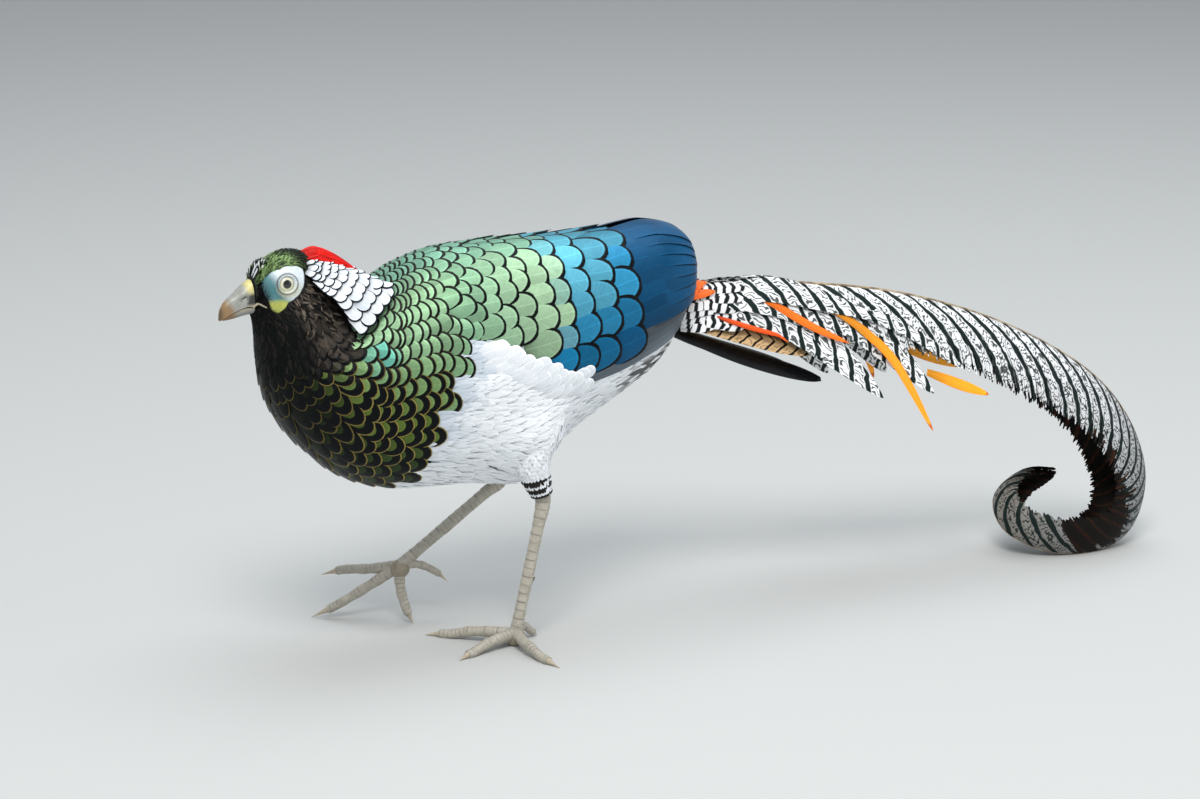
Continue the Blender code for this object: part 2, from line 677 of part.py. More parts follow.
def make_toes(hock, foot, toes, word):
    """Each toe with its claw: a bowed limb that tapers, flat where it lies on the floor."""
    centre = np.array(foot)
    above = centre + 0.3 * (np.array(hock) - centre)
    before = []
    for name, points in toes.items():
        route = [np.zeros(3)] + [np.array(p, float) for p in points]
        small = 0.8 if name == "hallux" else 1.0
        line = centre + smooth_through(range(4), route, np.linspace(0.3, 3.0, 9))
        radii = small * TOE_RADIUS * np.array([1.12, 1.08, 0.98, 1.0, 0.9, 0.92, 0.78, 0.5, 0.2])
        line[:, 2] = np.maximum(line[:, 2], 0.8 * radii)
        toe = tube(name, line, radii, 8)
        for vertex in toe.data.vertices:
            vertex.co.z = max(vertex.co.z, FLOOR)
        carve(toe, [toe_pad(foot, GAP), tube("clear", [above, centre], (4.9, 4.9), 8)])
        if before:
            carve(toe, [tube("clear", *before[-1], 8)])
        before.append((line, radii + 1.3 * GAP))
        finish(toe, "toe_" + name + "_" + word, (0.55, 0.54, 0.50), 0.6)


# Tail


def tail_frames(t):
    """Points, directions, left and up along the long feathers' quill, for parts t of its length."""
    knots = np.arange(len(TAIL_ROUTE))
    fine = smooth_through(knots, TAIL_ROUTE, np.linspace(0, knots[-1], 600))
    length = np.concatenate([[0], np.cumsum(np.linalg.norm(np.diff(fine, axis=0), axis=1))])
    along_all = unit(np.gradient(fine, axis=0))
    up_all = [np.array((0.0, 0.0, 1.0))]
    for direction in along_all[1:]:
        kept = up_all[-1] - direction * (up_all[-1] @ direction)
        up_all.append(kept / np.linalg.norm(kept))
    up_all = np.array(up_all)
    place = np.asarray(t, float) * length[-1]

    def read(rows):
        return np.stack([np.interp(place, length, rows[:, k]) for k in range(3)], axis=-1)

    along, up = unit(read(along_all)), unit(read(up_all))
    return read(fine), along, np.cross(along, up), up, length[-1]


def tail_half_width(t):
    return TAIL_HALF_WIDTH * profile([(0.0, 0.16), (0.08, 0.34), (0.2, 0.78), (0.36, 1.0), (0.55, 0.98),
                                      (0.68, 0.84), (0.78, 0.66), (0.9, 0.50), (0.97, 0.30),
                                      (1.0, 0.08)], t)


def tail_roof(t, across, lift=0.0):
    """A vaulted feather: across runs from -1 at its right edge through the quill to 1 at its left."""
    t, across, lift = np.broadcast_arrays(*(np.asarray(a, float) for a in (t, across, lift)))
    point, along, left, up, _ = tail_frames(t)
    width = tail_half_width(t)
    droop = TAIL_DROOP * (0.62 + 0.38 * np.abs(across))
    out = np.sign(across) * np.abs(across) * width * np.cos(droop)
    down = np.abs(across) * width * np.sin(droop)
    slope = np.stack([np.sign(across) * np.sin(droop), np.cos(droop)], axis=-1)
    return (point + out[..., None] * left - down[..., None] * up
            + lift[..., None] * (slope[..., 0:1] * left + slope[..., 1:2] * up))


def tail_length(name, start, end, lift, narrow):
    """One length of a long middle feather, between two parts of the route."""
    steps = max(3, int(round((end - start) * 42)))
    t = np.linspace(start, end, steps + 1)[:, None]
    across = np.array((-1.0, -0.5, 0.0, 0.5, 1.0))[None, :] * narrow
    top = tail_roof(t, across, lift + TAIL_THICK / 2)
    under = tail_roof(t, across, lift - TAIL_THICK / 2)
    laid = np.maximum(FLOOR - np.minimum(top[..., 2], under[..., 2]), 0.0)
    top[..., 2] += laid
    under[..., 2] += laid
    return plate(name, top, under)


def tail_side(t, v, lift=0.0):
    """The same vault as a surface for shorter feathers: v from -1 right to 1 left, past the edge too."""
    t, v, lift = np.broadcast_arrays(*(np.asarray(a, float) for a in (t, v, lift)))
    point, along, left, up, _ = tail_frames(t)
    droop = TAIL_DROOP * (0.62 + 0.38 * np.minimum(np.abs(v), 1.0))
    reach = np.maximum(tail_half_width(t), 20.0) * np.abs(v)
    sideways = np.sign(v) * reach * np.cos(droop)
    slope = np.stack([np.sign(v) * np.sin(droop), np.cos(droop)], axis=-1)
    return (point + sideways[..., None] * left - (reach * np.sin(droop))[..., None] * up
            + lift[..., None] * (slope[..., 0:1] * left + slope[..., 1:2] * up))


def stump():
    """The tail's fleshy root under the coverts."""
    turn = 0.11 + np.arange(12) * 2 * pi / 12
    rings = []
    for step in np.linspace(0.0, 1.0, 5):
        middle = np.array((108.0 + STUMP_LENGTH * step, -3.6 * step, 191.0 + 4.6 * step))
        wide, high = 17.0 - 10.0 * step, 18.0 - 13.5 * step
        rings.append([middle + np.array((0.0, -wide * cos(a), high * sin(a))) for a in turn])
    return loft("stump", rings)


def space(points):
    """A surface for a feather in the open: u along the points, v across, level from side to side."""
    knots = np.linspace(0.0, 1.0, len(points))

    def surface(u, v, lift=0.0):
        u, v, lift = np.broadcast_arrays(*(np.asarray(a, float) for a in (u, v, lift)))
        line = smooth_through(knots, points, u)
        along = smooth_through(knots, points, u + 1e-3) - smooth_through(knots, points, u - 1e-3)
        side = unit(np.cross(along, np.array((0.0, 0.0, 1.0))) * -1)
        return line + v[..., None] * side + lift[..., None] * unit(np.cross(along, side))
    return surface


COVERT_ROWS = 2
LONG_COVERTS = [
    # root v, tip t, tip v, height over the vault
    (0.20, 0.33, 1.05, 1.8), (0.45, 0.28, 1.28, 3.6),
]
PLUMES = [
    # root t and v, tip t and v
    (0.10, 0.68, 0.205, 1.30), (0.195, 0.76, 0.325, 2.25), (0.05, 0.95, 0.135, 1.85),
    (0.305, 0.97, 0.385, 1.34),
]
SIDE_FEATHERS = [
    # root, middle and end of an outer tail feather on the left, half width
    ((120, -9, 184), (165, -16, 171), (214, -24, 155), 8.5),
    ((118, -11, 177), (165, -17, 157), (222, -21, 136), 7.0),
    ((120, -5, 188), (170, -9, 177), (232, -12, 163), 8.0),
]


def make_tail():
    """The tail's root with coverts, plumes and outer feathers, then the long pair in lengths."""
    base = stump()
    rng = np.random.default_rng(3)
    pieces = []
    for row in range(COVERT_ROWS):
        pitch = 2.0 / (5 - row % 2)
        for place in range(5 - row % 2):
            v = (place - (4 - row % 2) / 2) * pitch + 0.043
            start, end = 0.02 + 0.035 * row, 0.085 + 0.04 * row + rng.uniform(-0.004, 0.004)
            pieces.append(vane("tail covert", tail_side, (start, v * 0.6), (end, v), blade(0.45 * pitch),
                               rising(-1.5, 1.5 + row, 2.6 + row), 1.2))
    for side in (1, -1):
        for root_v, tip_t, tip_v, height in LONG_COVERTS:
            pieces.append(vane("long covert", tail_side, (0.03, side * root_v), (tip_t, side * tip_v),
                               blade(0.30, 0.5, 0.15), rising(-1.5, height, height), 1.1, 5))
        for root_t, root_v, tip_t, tip_v in PLUMES:
            start, end = (root_t, side * root_v), (tip_t + 0.01 * side, side * tip_v)
            pieces.append(vane("plume", tail_side, start, end, blade(0.085, 0.7, 0.15),
                               rising(0.0, 5.6, 5.6), 1.3, 4))
        for first, second, third, half in SIDE_FEATHERS:
            line = [np.array(p, float) * (1, side, 1) for p in (first, second, third)]
            pieces.append(vane("outer feather", space(line), (0.0, 0.0), (1.0, 0.0),
                               blade(half, 0.4, 0.3), rising(0.0, 0.0, 0.0), 1.2, 4))
    bounds = (0.0,) + TAIL_CUTS + (1.0,)
    feathers = (("left", 0.0, 1.0), ("right", -2.2, 0.93))
    for word, lift, narrow in feathers:
        pieces.append(tail_length("long " + word, bounds[0], bounds[1], lift, narrow))
    fuse(base, pieces)
    carve(base, [torso_grown()])
    finish(base, "tail_base", (0.75, 0.75, 0.72), 0.6)
    step = GAP / tail_frames(0.0)[4]
    for word, lift, narrow in feathers:
        for number, (start, end) in enumerate(zip(bounds[1:-1], bounds[2:]), 2):
            piece = tail_length("long", start + step, end, lift, narrow)
            finish(piece, "tail_" + word + "_" + str(number), (0.80, 0.80, 0.78), 0.5)


def main():
    remove(list(bpy.data.objects))
    finish(make_torso(), "torso", (0.06, 0.13, 0.07), 0.45, 0.2)
    finish(make_neck(), "neck", (0.75, 0.76, 0.78), 0.6)
    finish(make_head(), "head", (0.05, 0.09, 0.04), 0.5)
    make_bill()
    make_eyes()
    for side, word in ((1, "left"), (-1, "right")):
        make_wing(side, word)
    for side, hock, foot, toes, word in ((1, NEAR_HOCK, NEAR_FOOT, NEAR_TOES, "left"),
                                         (-1, FAR_HOCK, FAR_FOOT, FAR_TOES, "right")):
        make_thigh(side, hock, word)
        make_tarsus(side, hock, foot, word)
        make_toes(hock, foot, toes, word)
    make_tail()
    nodes = [obj for obj in bpy.data.objects if obj.type == "MESH"]
    corners = np.array([v.co for obj in nodes for v in obj.data.vertices])
    low, high = corners.min(axis=0), corners.max(axis=0)
    centre = Vector(((low[0] + high[0]) / 2, (low[1] + high[1]) / 2, low[2]))
    for obj in nodes:
        for vertex in obj.data.vertices:
            vertex.co = (vertex.co - centre) * MM
        obj.data.shade_smooth()
        obj.data.set_sharp_from_angle(angle=radians(40))
    print("size in mm", high - low, "shift", centre)


main()
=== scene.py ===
"""Lady Amherst's pheasant, male: the looks of a life-size museum model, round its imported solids."""
import bpy
import numpy as np
from math import radians, pi, sin, cos
from mathutils import Matrix, Vector


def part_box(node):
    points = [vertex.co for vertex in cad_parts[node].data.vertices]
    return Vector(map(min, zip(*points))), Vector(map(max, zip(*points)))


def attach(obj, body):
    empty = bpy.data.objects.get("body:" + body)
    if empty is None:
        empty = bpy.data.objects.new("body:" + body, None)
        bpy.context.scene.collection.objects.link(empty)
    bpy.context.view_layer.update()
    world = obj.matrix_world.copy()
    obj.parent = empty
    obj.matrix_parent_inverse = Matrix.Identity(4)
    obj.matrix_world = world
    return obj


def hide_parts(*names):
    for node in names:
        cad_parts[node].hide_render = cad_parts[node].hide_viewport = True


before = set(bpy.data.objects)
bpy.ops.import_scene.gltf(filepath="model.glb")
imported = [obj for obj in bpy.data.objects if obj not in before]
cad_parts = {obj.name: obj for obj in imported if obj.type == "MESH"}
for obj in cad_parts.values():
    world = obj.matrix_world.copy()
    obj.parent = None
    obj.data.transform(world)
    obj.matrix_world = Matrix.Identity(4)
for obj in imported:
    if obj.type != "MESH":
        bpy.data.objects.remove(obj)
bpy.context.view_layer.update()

# The bird's own frame
# All shapes are worked out in millimetres from the floor point under the left foot, facing -X.
# The left eyeball is turned on a known centre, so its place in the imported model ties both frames.

MM = 0.001
SMALL = 1e-6
HEAD_TURN = radians(6)
AHEAD = np.array((-cos(HEAD_TURN), -sin(HEAD_TURN), 0.0))
LEFT = np.array((sin(HEAD_TURN), -cos(HEAD_TURN), 0.0))
UP = np.array((0.0, 0.0, 1.0))
EYE_MIDDLE = np.array((-134.1, -2.1, 230.7))
EYE_SPREAD = 8.2
EYE_RADIUS = 6.2
eye_low, eye_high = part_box("eye_left")
ZERO = np.array((eye_low + eye_high) / 2) - (EYE_MIDDLE + EYE_SPREAD * LEFT) * MM


def unit(v):
    """A direction of length one."""
    return v / np.maximum(np.linalg.norm(v, axis=-1, keepdims=True), SMALL)


def smooth_through(knots, rows, t):
    """Cubic curve through the rows at the knots, read at t; slopes come from the neighbours."""
    knots = np.asarray(knots, float)
    rows = np.asarray(rows, float)
    if rows.ndim == 1:
        rows = rows[:, None]
    slope = np.gradient(rows, knots, axis=0)
    t = np.clip(np.asarray(t, float), knots[0], knots[-1])
    i = np.clip(np.searchsorted(knots, t, side="right") - 1, 0, len(knots) - 2)
    step = (knots[i + 1] - knots[i])[..., None]
    u = (t - knots[i])[..., None] / step
    a = rows[i] * (1 + 2 * u) * (1 - u) ** 2 + rows[i + 1] * u * u * (3 - 2 * u)
    return a + step * (slope[i] * u * (1 - u) ** 2 - slope[i + 1] * u * u * (1 - u))


def profile(pairs, t):
    """A smooth number along t, from (t, value) pairs."""
    knots, values = zip(*pairs)
    return smooth_through(knots, values, t)[..., 0]


def fade(low, high, t):
    """From 0 at low to 1 at high, as three squares less two cubes of the part between them."""
    part = np.clip((np.asarray(t, float) - low) / (high - low), 0.0, 1.0)
    return part * part * (3 - 2 * part)


def paint(code):
    """A colour from its usual screen code, as linear light."""
    value = np.array([int(code[i:i + 2], 16) for i in (1, 3, 5)]) / 255
    return np.where(value < 0.04045, value / 12.92, ((value + 0.055) / 1.055) ** 2.4)


def toward(colours, other, amount):
    """Colours moved towards another by an amount for each."""
    return colours + (other - colours) * np.asarray(amount)[..., None]


def arrays(*values):
    """The values as arrays of numbers, all of one common shape."""
    return np.broadcast_arrays(*(np.asarray(value, float) for value in values))


def together(*parts):
    """Numbers or arrays side by side, along a new last axis."""
    return np.stack(np.broadcast_arrays(*parts), axis=-1)


def from_back(turn):
    """Angle in degrees from the middle of the back, alike on both sides."""
    return np.abs(np.degrees((turn + pi) % (2 * pi) - pi))


def build_mesh(name, points, faces, colours=None, marks=None, vane=None, bake=None, sharp=60):
    """A mesh object from whole arrays: millimetre points, faces, and values for each point."""
    mesh = bpy.data.meshes.new(name)
    points = np.asarray(points, float).reshape(-1, 3) * MM + ZERO
    points[:, 2] = np.maximum(points[:, 2], 0.0)
    faces = [np.asarray(group, int) for group in (faces if isinstance(faces, list) else [faces])]
    sizes = np.concatenate([np.full(len(group), group.shape[1]) for group in faces])
    corners = np.concatenate([group.ravel() for group in faces])
    mesh.vertices.add(len(points))
    mesh.vertices.foreach_set("co", points.astype(np.float32).ravel())
    mesh.loops.add(len(corners))
    mesh.loops.foreach_set("vertex_index", corners.astype(np.int32))
    mesh.polygons.add(len(sizes))
    mesh.polygons.foreach_set("loop_start", (np.cumsum(sizes) - sizes).astype(np.int32))
    for layer, values in (("Vane", vane), ("OFBake", bake)):
        if values is not None:
            uv = mesh.uv_layers.new(name=layer)
            uv.data.foreach_set("uv", values.reshape(-1, 2)[corners].astype(np.float32).ravel())
    if colours is not None:
        full = np.concatenate([colours.reshape(-1, 3), np.ones((len(points), 1))], axis=1)
        tint = mesh.attributes.new("tint", "FLOAT_COLOR", "POINT")
        tint.data.foreach_set("color", full.astype(np.float32).ravel())
    if marks is not None:
        value = mesh.attributes.new("marks", "FLOAT_VECTOR", "POINT")
        value.data.foreach_set("vector", marks.reshape(-1, 3).astype(np.float32).ravel())
    mesh.update(calc_edges=True)
    mesh.shade_smooth()
    mesh.set_sharp_from_angle(angle=radians(sharp))
    obj = bpy.data.objects.new(name, mesh)
    bpy.context.scene.collection.objects.link(obj)
    return obj


# Camera and studio
# A long portrait lens a little above the bird's back, and a pale seamless floor under soft lights.

CAMERA_FROM = radians(-28), radians(14)
CAMERA_PLACE = np.array((-848.8, -1741.2, 626.8))
azimuth, elevation = CAMERA_FROM
right = np.array((cos(azimuth), sin(azimuth), 0.0))
back = np.array((sin(azimuth) * cos(elevation), -cos(azimuth) * cos(elevation), sin(elevation)))
lens = bpy.data.cameras.new("camera")
lens.lens, lens.sensor_width, lens.clip_start = 100.0, 36.0, 0.05
camera = bpy.data.objects.new("camera", lens)
underside_shade = Matrix(np.stack([right, np.cross(back, right), back], axis=1).tolist()).to_4x4()
camera.matrix_world = Matrix.Translation(Vector(CAMERA_PLACE * MM + ZERO)) @ underside_shade
bpy.context.scene.collection.objects.link(camera)
bpy.context.scene.camera = camera

STUDIO_GREY = (0.52, 0.53, 0.52, 1.0)


def plain_material(name, colour, roughness):
    """A Principled material with one base colour; its nodes are returned to be added to."""
    material = bpy.data.materials.new(name)
    material.use_nodes = True
    shader = material.node_tree.nodes["Principled BSDF"]
    shader.inputs["Base Color"].default_value = (*colour[:3], 1.0)
    shader.inputs["Roughness"].default_value = roughness
    return material, shader, material.node_tree


floor_mesh = bpy.data.meshes.new("studio_floor")
floor_mesh.from_pydata([(x, y, 0.0) for x, y in ((-9, -9), (9, -9), (9, 9), (-9, 9))], [], [(0, 1, 2, 3)])
floor = bpy.data.objects.new("studio_floor", floor_mesh)
bpy.context.scene.collection.objects.link(floor)
floor_mesh.materials.append(plain_material("studio floor", STUDIO_GREY, 0.8)[0])

world = bpy.data.worlds.new("studio")
world.use_nodes = True
world.node_tree.nodes["Background"].inputs["Color"].default_value = (0.80, 0.84, 0.90, 1.0)
world.node_tree.nodes["Background"].inputs["Strength"].default_value = 0.50
bpy.context.scene.world = world


def soft_light(name, place, size, power, colour):
    """A square soft box aimed at the bird's middle."""
    data = bpy.data.lights.new(name, "AREA")
    data.size, data.energy, data.color = size, power, colour
    light = bpy.data.objects.new(name, data)
    light.location = place
    light.rotation_euler = (Vector((0.0, 0.0, 0.13)) - Vector(place)).to_track_quat("-Z", "Y").to_euler()
    bpy.context.scene.collection.objects.link(light)


soft_light("key light", (-0.9, -1.5, 2.3), 1.1, 58.0, (1.0, 0.98, 0.95))
soft_light("sky light", (0.5, 0.3, 2.6), 2.2, 42.0, (0.93, 0.97, 1.0))
soft_light("fill light", (1.9, -1.3, 0.9), 1.6, 9.0, (1.0, 1.0, 1.0))
bpy.context.scene.view_settings.view_transform = "Standard"

# Body shape
# The bird's outline as slices from rump to forehead; skin and feathers are laid on this surface.

STATIONS = np.array([
    # back x and z, belly x and z, half width, sideways place, turn of the head in degrees
    (133.0, 216.0, 129.0, 195.0, 9.0, 0.0, 0.0),
    (128.0, 230.5, 120.0, 173.0, 25.0, 0.0, 0.0),
    (112.0, 237.5, 106.0, 153.5, 35.0, 0.0, 0.0),
    (85.0, 240.5, 84.0, 140.0, 42.0, 0.0, 0.0),
    (55.0, 240.5, 57.0, 125.0, 47.0, 0.0, 0.0),
    (26.0, 241.0, 28.0, 107.0, 50.0, 0.0, 0.0),
    (-6.0, 241.0, -2.0, 98.0, 52.0, 0.0, 0.0),
    (-34.0, 239.5, -36.0, 97.0, 52.0, 0.0, 0.0),
    (-54.0, 234.0, -70.0, 99.5, 49.5, 0.0, 0.0),
    (-66.0, 228.0, -99.0, 111.0, 45.5, 0.0, 0.0),
    (-73.0, 224.0, -122.0, 131.0, 40.5, 0.0, 0.0),
    (-78.0, 219.0, -136.5, 150.0, 35.5, 0.0, 0.0),
    (-82.0, 217.5, -143.5, 168.0, 30.5, 0.0, 0.0),
    (-87.0, 220.5, -146.0, 184.0, 26.0, 0.0, 1.0),
    (-94.0, 228.0, -147.5, 196.0, 21.5, -1.0, 2.5),
    (-103.0, 236.5, -148.5, 203.0, 17.3, -1.6, 4.0),
    (-114.5, 245.0, -149.5, 208.5, 14.2, -2.3, 5.0),
    (-128.0, 248.5, -150.5, 212.0, 13.0, -3.0, 6.0),
    (-140.5, 244.5, -151.5, 214.0, 11.0, -3.8, 6.0),
    (-151.5, 235.0, -151.5, 215.5, 7.6, -4.6, 6.0),
])
FACE_END = len(STATIONS) - 1.0


def body_ring(s, turn):
    """Point of the body at station s and angle turn: 0 along the back, pi/2 on the left side."""
    s, turn = arrays(s, turn)
    row = smooth_through(np.arange(len(STATIONS)), STATIONS, s)
    up = (row[..., 0:2] - row[..., 2:4]) / 2
    middle = (row[..., 0:2] + row[..., 2:4]) / 2
    yaw = np.radians(row[..., 6])
    ahead = together(np.cos(yaw), np.sin(yaw), 0 * yaw)
    left = together(np.sin(yaw), -np.cos(yaw), 0 * yaw)
    point = together(middle[..., 0], row[..., 5], middle[..., 1])
    rise = up[..., 0:1] * ahead + up[..., 1:2] * UP
    return point + np.cos(turn)[..., None] * rise + (np.sin(turn) * row[..., 4])[..., None] * left


def body(s, turn, lift=0.0):
    """The body surface, raised by lift along its outward normal."""
    s, turn, lift = arrays(s, turn, lift)
    s = np.clip(s, 0.0, FACE_END)
    s_in = np.clip(s, 0.03, FACE_END - 0.03)
    along = body_ring(s_in + 0.02, turn) - body_ring(s_in - 0.02, turn)
    around = body_ring(s_in, turn + 0.02) - body_ring(s_in, turn - 0.02)
    return body_ring(s, turn) + lift[..., None] * unit(np.cross(along, around))


def eye_centre(side):
    """The eyeball's middle; side is 1 on the left and -1 on the right."""
    return EYE_MIDDLE + side * EYE_SPREAD * LEFT


def eye_axes(side):
    """Across, up and outward directions of one eye."""
    out = unit(side * LEFT + 0.12 * AHEAD + 0.04 * UP)
    across = unit(np.cross(UP, out))
    return across, np.cross(out, across), out


def face_place(points, side):
    """How far points lie ahead of, above and outward from one eye's middle."""
    from_eye = points - eye_centre(side)
    return from_eye @ AHEAD, from_eye @ UP, side * (from_eye @ LEFT)


# Plumage colours
# One rule for skin and feathers alike: which colour and how broad a dark margin grows at a place.

MARGIN_BLACK = paint("#05080a")
SAGE, SAGE_TEAL, LEAF = paint("#7a9c79"), paint("#72a592"), paint("#6f8e4a")
BREAST_GREEN, BREAST_DARK, FRONT_BLACK = paint("#55682c"), paint("#26361a"), paint("#070a07")
TURQUOISE = paint("#5a9c8b")
# PAINTED_SHADE_BLUE is a painted shade: the blue-grey that white feathers take in shadow.
WHITE, PAINTED_SHADE_BLUE = paint("#e4e8ec"), paint("#a9b6c4")
THROAT_BROWN, THROAT_BLACK = paint("#2b2621"), paint("#050606")
CYAN, BLUE, DEEP_BLUE = paint("#56a3ba"), paint("#14709a"), paint("#044a72")
TILE_GREEN, TILE_PALE, TOP_TEAL = paint("#759d7e"), paint("#93b290"), paint("#4c93a4")
WHITE_EDGE = [(0, 3.0), (60, 5.0), (72, 6.9), (83, 7.05), (95, 7.35), (110, 7.6), (137, 7.6), (152, 7.9),
              (180, 8.1)]
THROAT_EDGE = [(0, 13.6), (55, 12.4), (68, 11.4), (78, 10.5), (97, 11.0), (126, 12.0), (180, 13.0)]
BLUE_EDGE = [(0, 5.1), (35, 4.75), (59, 4.75), (78, 5.03), (91, 5.45), (180, 5.6)]
DEEP_EDGE = [(0, 3.3), (47, 2.9), (80, 3.6), (104, 4.1), (180, 4.2)]


def plumage(s, turn, winged=False):
    """Colour, margin width, pale fringe and whiteness of the feathers that show at (s, turn)."""
    angle = from_back(turn)
    wander = 0.10 * np.sin(angle * 0.37) + 0.07 * np.sin(angle * 0.93 + 2)
    colour = toward(SAGE, SAGE_TEAL, 0.75 * fade(34, 8, angle + 0 * s))
    colour = toward(colour, LEAF, 0.55 * fade(60, 92, angle))
    colour = toward(colour, BREAST_GREEN, fade(80, 106, angle))
    colour = toward(colour, BREAST_DARK, fade(108, 136, angle))
    low = fade(70, 104, angle)
    margin = 0.13 + 0.27 * low
    fringe = 0.05 + 0.85 * low
    tile = fade(7.7, 6.4, s + wander)
    green = toward(TILE_GREEN, TILE_PALE, fade(7.0, 5.4, s) * fade(10, 40, angle))
    green = toward(green, SAGE_TEAL, 0.6 * fade(30, 8, angle))
    colour = toward(colour, green, tile)
    margin = margin * (1 - tile) + 0.095 * tile
    fringe = fringe * (1 - tile)
    blue_edge = profile(BLUE_EDGE, angle) + wander
    deep_edge = profile(DEEP_EDGE, angle) + wander
    blue = toward(CYAN, BLUE, np.maximum(0.9 * fade(0.5, 1.7, blue_edge - s), fade(52, 84, angle)))
    blue = toward(blue, TOP_TEAL, 0.8 * fade(40, 15, angle) * fade(1.5, 0.4, deep_edge - s))
    blue = toward(blue, DEEP_BLUE, np.maximum(fade(-0.2, 0.5, deep_edge - s), 0.75 * fade(84, 102, angle)))
    colour = toward(colour, blue, fade(-0.12, 0.18, blue_edge - s))
    turquoise = fade(1.5, 0.6, np.hypot((s - 9.6) / 0.55, (angle - 73) / 9))
    colour = toward(colour, TURQUOISE, turquoise)
    front = fade(8.4, 10.6, s + wander) * fade(92, 124, angle)
    colour = toward(colour, FRONT_BLACK, 0.93 * front)
    fringe = fringe * (1 - 0.75 * front)
    throat_edge = profile(THROAT_EDGE, angle) + 2.5 * wander
    throat = fade(-0.25, 0.55, s - throat_edge)
    brown = throat * fade(110, 92, angle) * fade(3.4, 1.6, s - throat_edge)
    colour = toward(colour, THROAT_BLACK, throat)
    colour = toward(colour, THROAT_BROWN, brown)
    margin = margin * (1 - throat) + 0.2 * brown
    fringe = fringe * (1 - throat)
    white_edge = profile(WHITE_EDGE, angle) + 1.6 * wander
    white = fade(-0.05, 0.05, white_edge - s) * fade(66, 72, angle) * (not winged)
    colour = toward(colour, WHITE, white)
    # Painted shade: the white turns blue-grey near its front edge and higher on the sides, where wing and
    # breast shade it.
    colour = toward(colour, PAINTED_SHADE_BLUE,
                    0.75 * white * fade(0.9, 0.1, white_edge - s) * fade(140, 105, angle))
    fringe = fringe * (1 - white)
    return colour, np.clip(margin, 0.0, 0.6), np.clip(fringe, 0.0, 1.0), white


# Feather material
# A vane's dark margin, pale outer fringe, quill and barbs, painted in the feather's own measure.

class Number:
    """A number worked out by shader nodes: sums, products and powers of it add Math nodes."""

    def __init__(self, tree, out):
        self.tree, self.out = tree, out

    def math(self, operation, *values):
        """This Math operation on the values, each a plain or a worked-out number."""
        node = self.tree.nodes.new("ShaderNodeMath")
        node.operation = operation
        for socket, value in zip(node.inputs, values):
            give(self.tree, value, socket)
        return Number(self.tree, node.outputs[0])

    def __add__(self, other):
        return self.math("ADD", self, other)

    def __radd__(self, other):
        return self.math("ADD", other, self)

    def __sub__(self, other):
        return self.math("SUBTRACT", self, other)

    def __rsub__(self, other):
        return self.math("SUBTRACT", other, self)

    def __mul__(self, other):
        return self.math("MULTIPLY", self, other)

    def __truediv__(self, other):
        return self.math("DIVIDE", self, other)

    def __rtruediv__(self, other):
        return self.math("DIVIDE", other, self)

    def __pow__(self, other):
        return self.math("POWER", self, other)

    def __abs__(self):
        return self.math("ABSOLUTE", self)


def link(tree, out, socket):
    """Joins an output, or a worked-out number, to a socket."""
    tree.links.new(getattr(out, "out", out), socket)


def give(tree, value, socket):
    """Sets a socket to a number or a colour, or links it where the value is worked out."""
    if isinstance(value, (int, float)):
        socket.default_value = value
    elif isinstance(value, (tuple, list, np.ndarray)):
        socket.default_value = (*value[:3], 1.0)
    else:
        link(tree, value, socket)


def mix_colour(tree, amount, first, second, mode="MIX"):
    """A colour Mix node; amount and colours are values or outputs."""
    node = tree.nodes.new("ShaderNodeMix")
    node.data_type, node.blend_type = "RGBA", mode
    for socket, value in zip((node.inputs[0], node.inputs[6], node.inputs[7]), (amount, first, second)):
        give(tree, value, socket)
    return node.outputs[2]


def smooth_step(tree, low, high, value):
    """Map Range from low and high to 0 and 1, smooth at both ends."""
    node = tree.nodes.new("ShaderNodeMapRange")
    node.interpolation_type = "SMOOTHSTEP"
    for socket, item in zip(node.inputs, (value, low, high)):
        give(tree, item, socket)
    return Number(tree, node.outputs[0])


def noise(tree, vector, scale, detail=3.0):
    """Cloudy noise at a place, from 0 to 1."""
    node = tree.nodes.new("ShaderNodeTexNoise")
    node.inputs["Scale"].default_value = scale
    node.inputs["Detail"].default_value = detail
    link(tree, vector, node.inputs["Vector"])
    return Number(tree, node.outputs["Fac"])


def attribute(tree, name, output):
    """A named value that the mesh carries at its points."""
    node = tree.nodes.new("ShaderNodeAttribute")
    node.attribute_name = name
    return node.outputs[output]


def numbers_of(tree, vector):
    """The three numbers of a vector output."""
    node = tree.nodes.new("ShaderNodeSeparateXYZ")
    link(tree, vector, node.inputs[0])
    return [Number(tree, out) for out in node.outputs]


def vane_place(tree):
    """The feather's own measure, kept in the UV map Vane."""
    node = tree.nodes.new("ShaderNodeUVMap")
    node.uv_map = "Vane"
    return node.outputs[0]


def vector_of(tree, *values):
    """A vector from up to three numbers."""
    node = tree.nodes.new("ShaderNodeCombineXYZ")
    for socket, value in zip(node.inputs, values):
        link(tree, value, socket)
    return node.outputs[0]


def brighter(tree, colour, amount):
    """A colour times a worked-out number."""
    node = tree.nodes.new("ShaderNodeVectorMath")
    node.operation = "SCALE"
    link(tree, colour, node.inputs[0])
    link(tree, amount, node.inputs["Scale"])
    return node.outputs[0]


def add_relief(tree, height, shader, strength, distance):
    """Fine relief on a shader, from a height."""
    node = tree.nodes.new("ShaderNodeBump")
    node.inputs["Strength"].default_value = strength
    node.inputs["Distance"].default_value = distance
    link(tree, height, node.inputs["Height"])
    link(tree, node.outputs[0], shader.inputs["Normal"])


def new_group(name, inputs, outputs):
    """An empty shader node group with named sockets, and its input and output nodes."""
    group = bpy.data.node_groups.new(name, "ShaderNodeTree")
    for direction, sockets in (("INPUT", inputs), ("OUTPUT", outputs)):
        for label, kind in sockets:
            group.interface.new_socket(name=label, in_out=direction, socket_type="NodeSocket" + kind)
    return group, group.nodes.new("NodeGroupInput"), group.nodes.new("NodeGroupOutput")


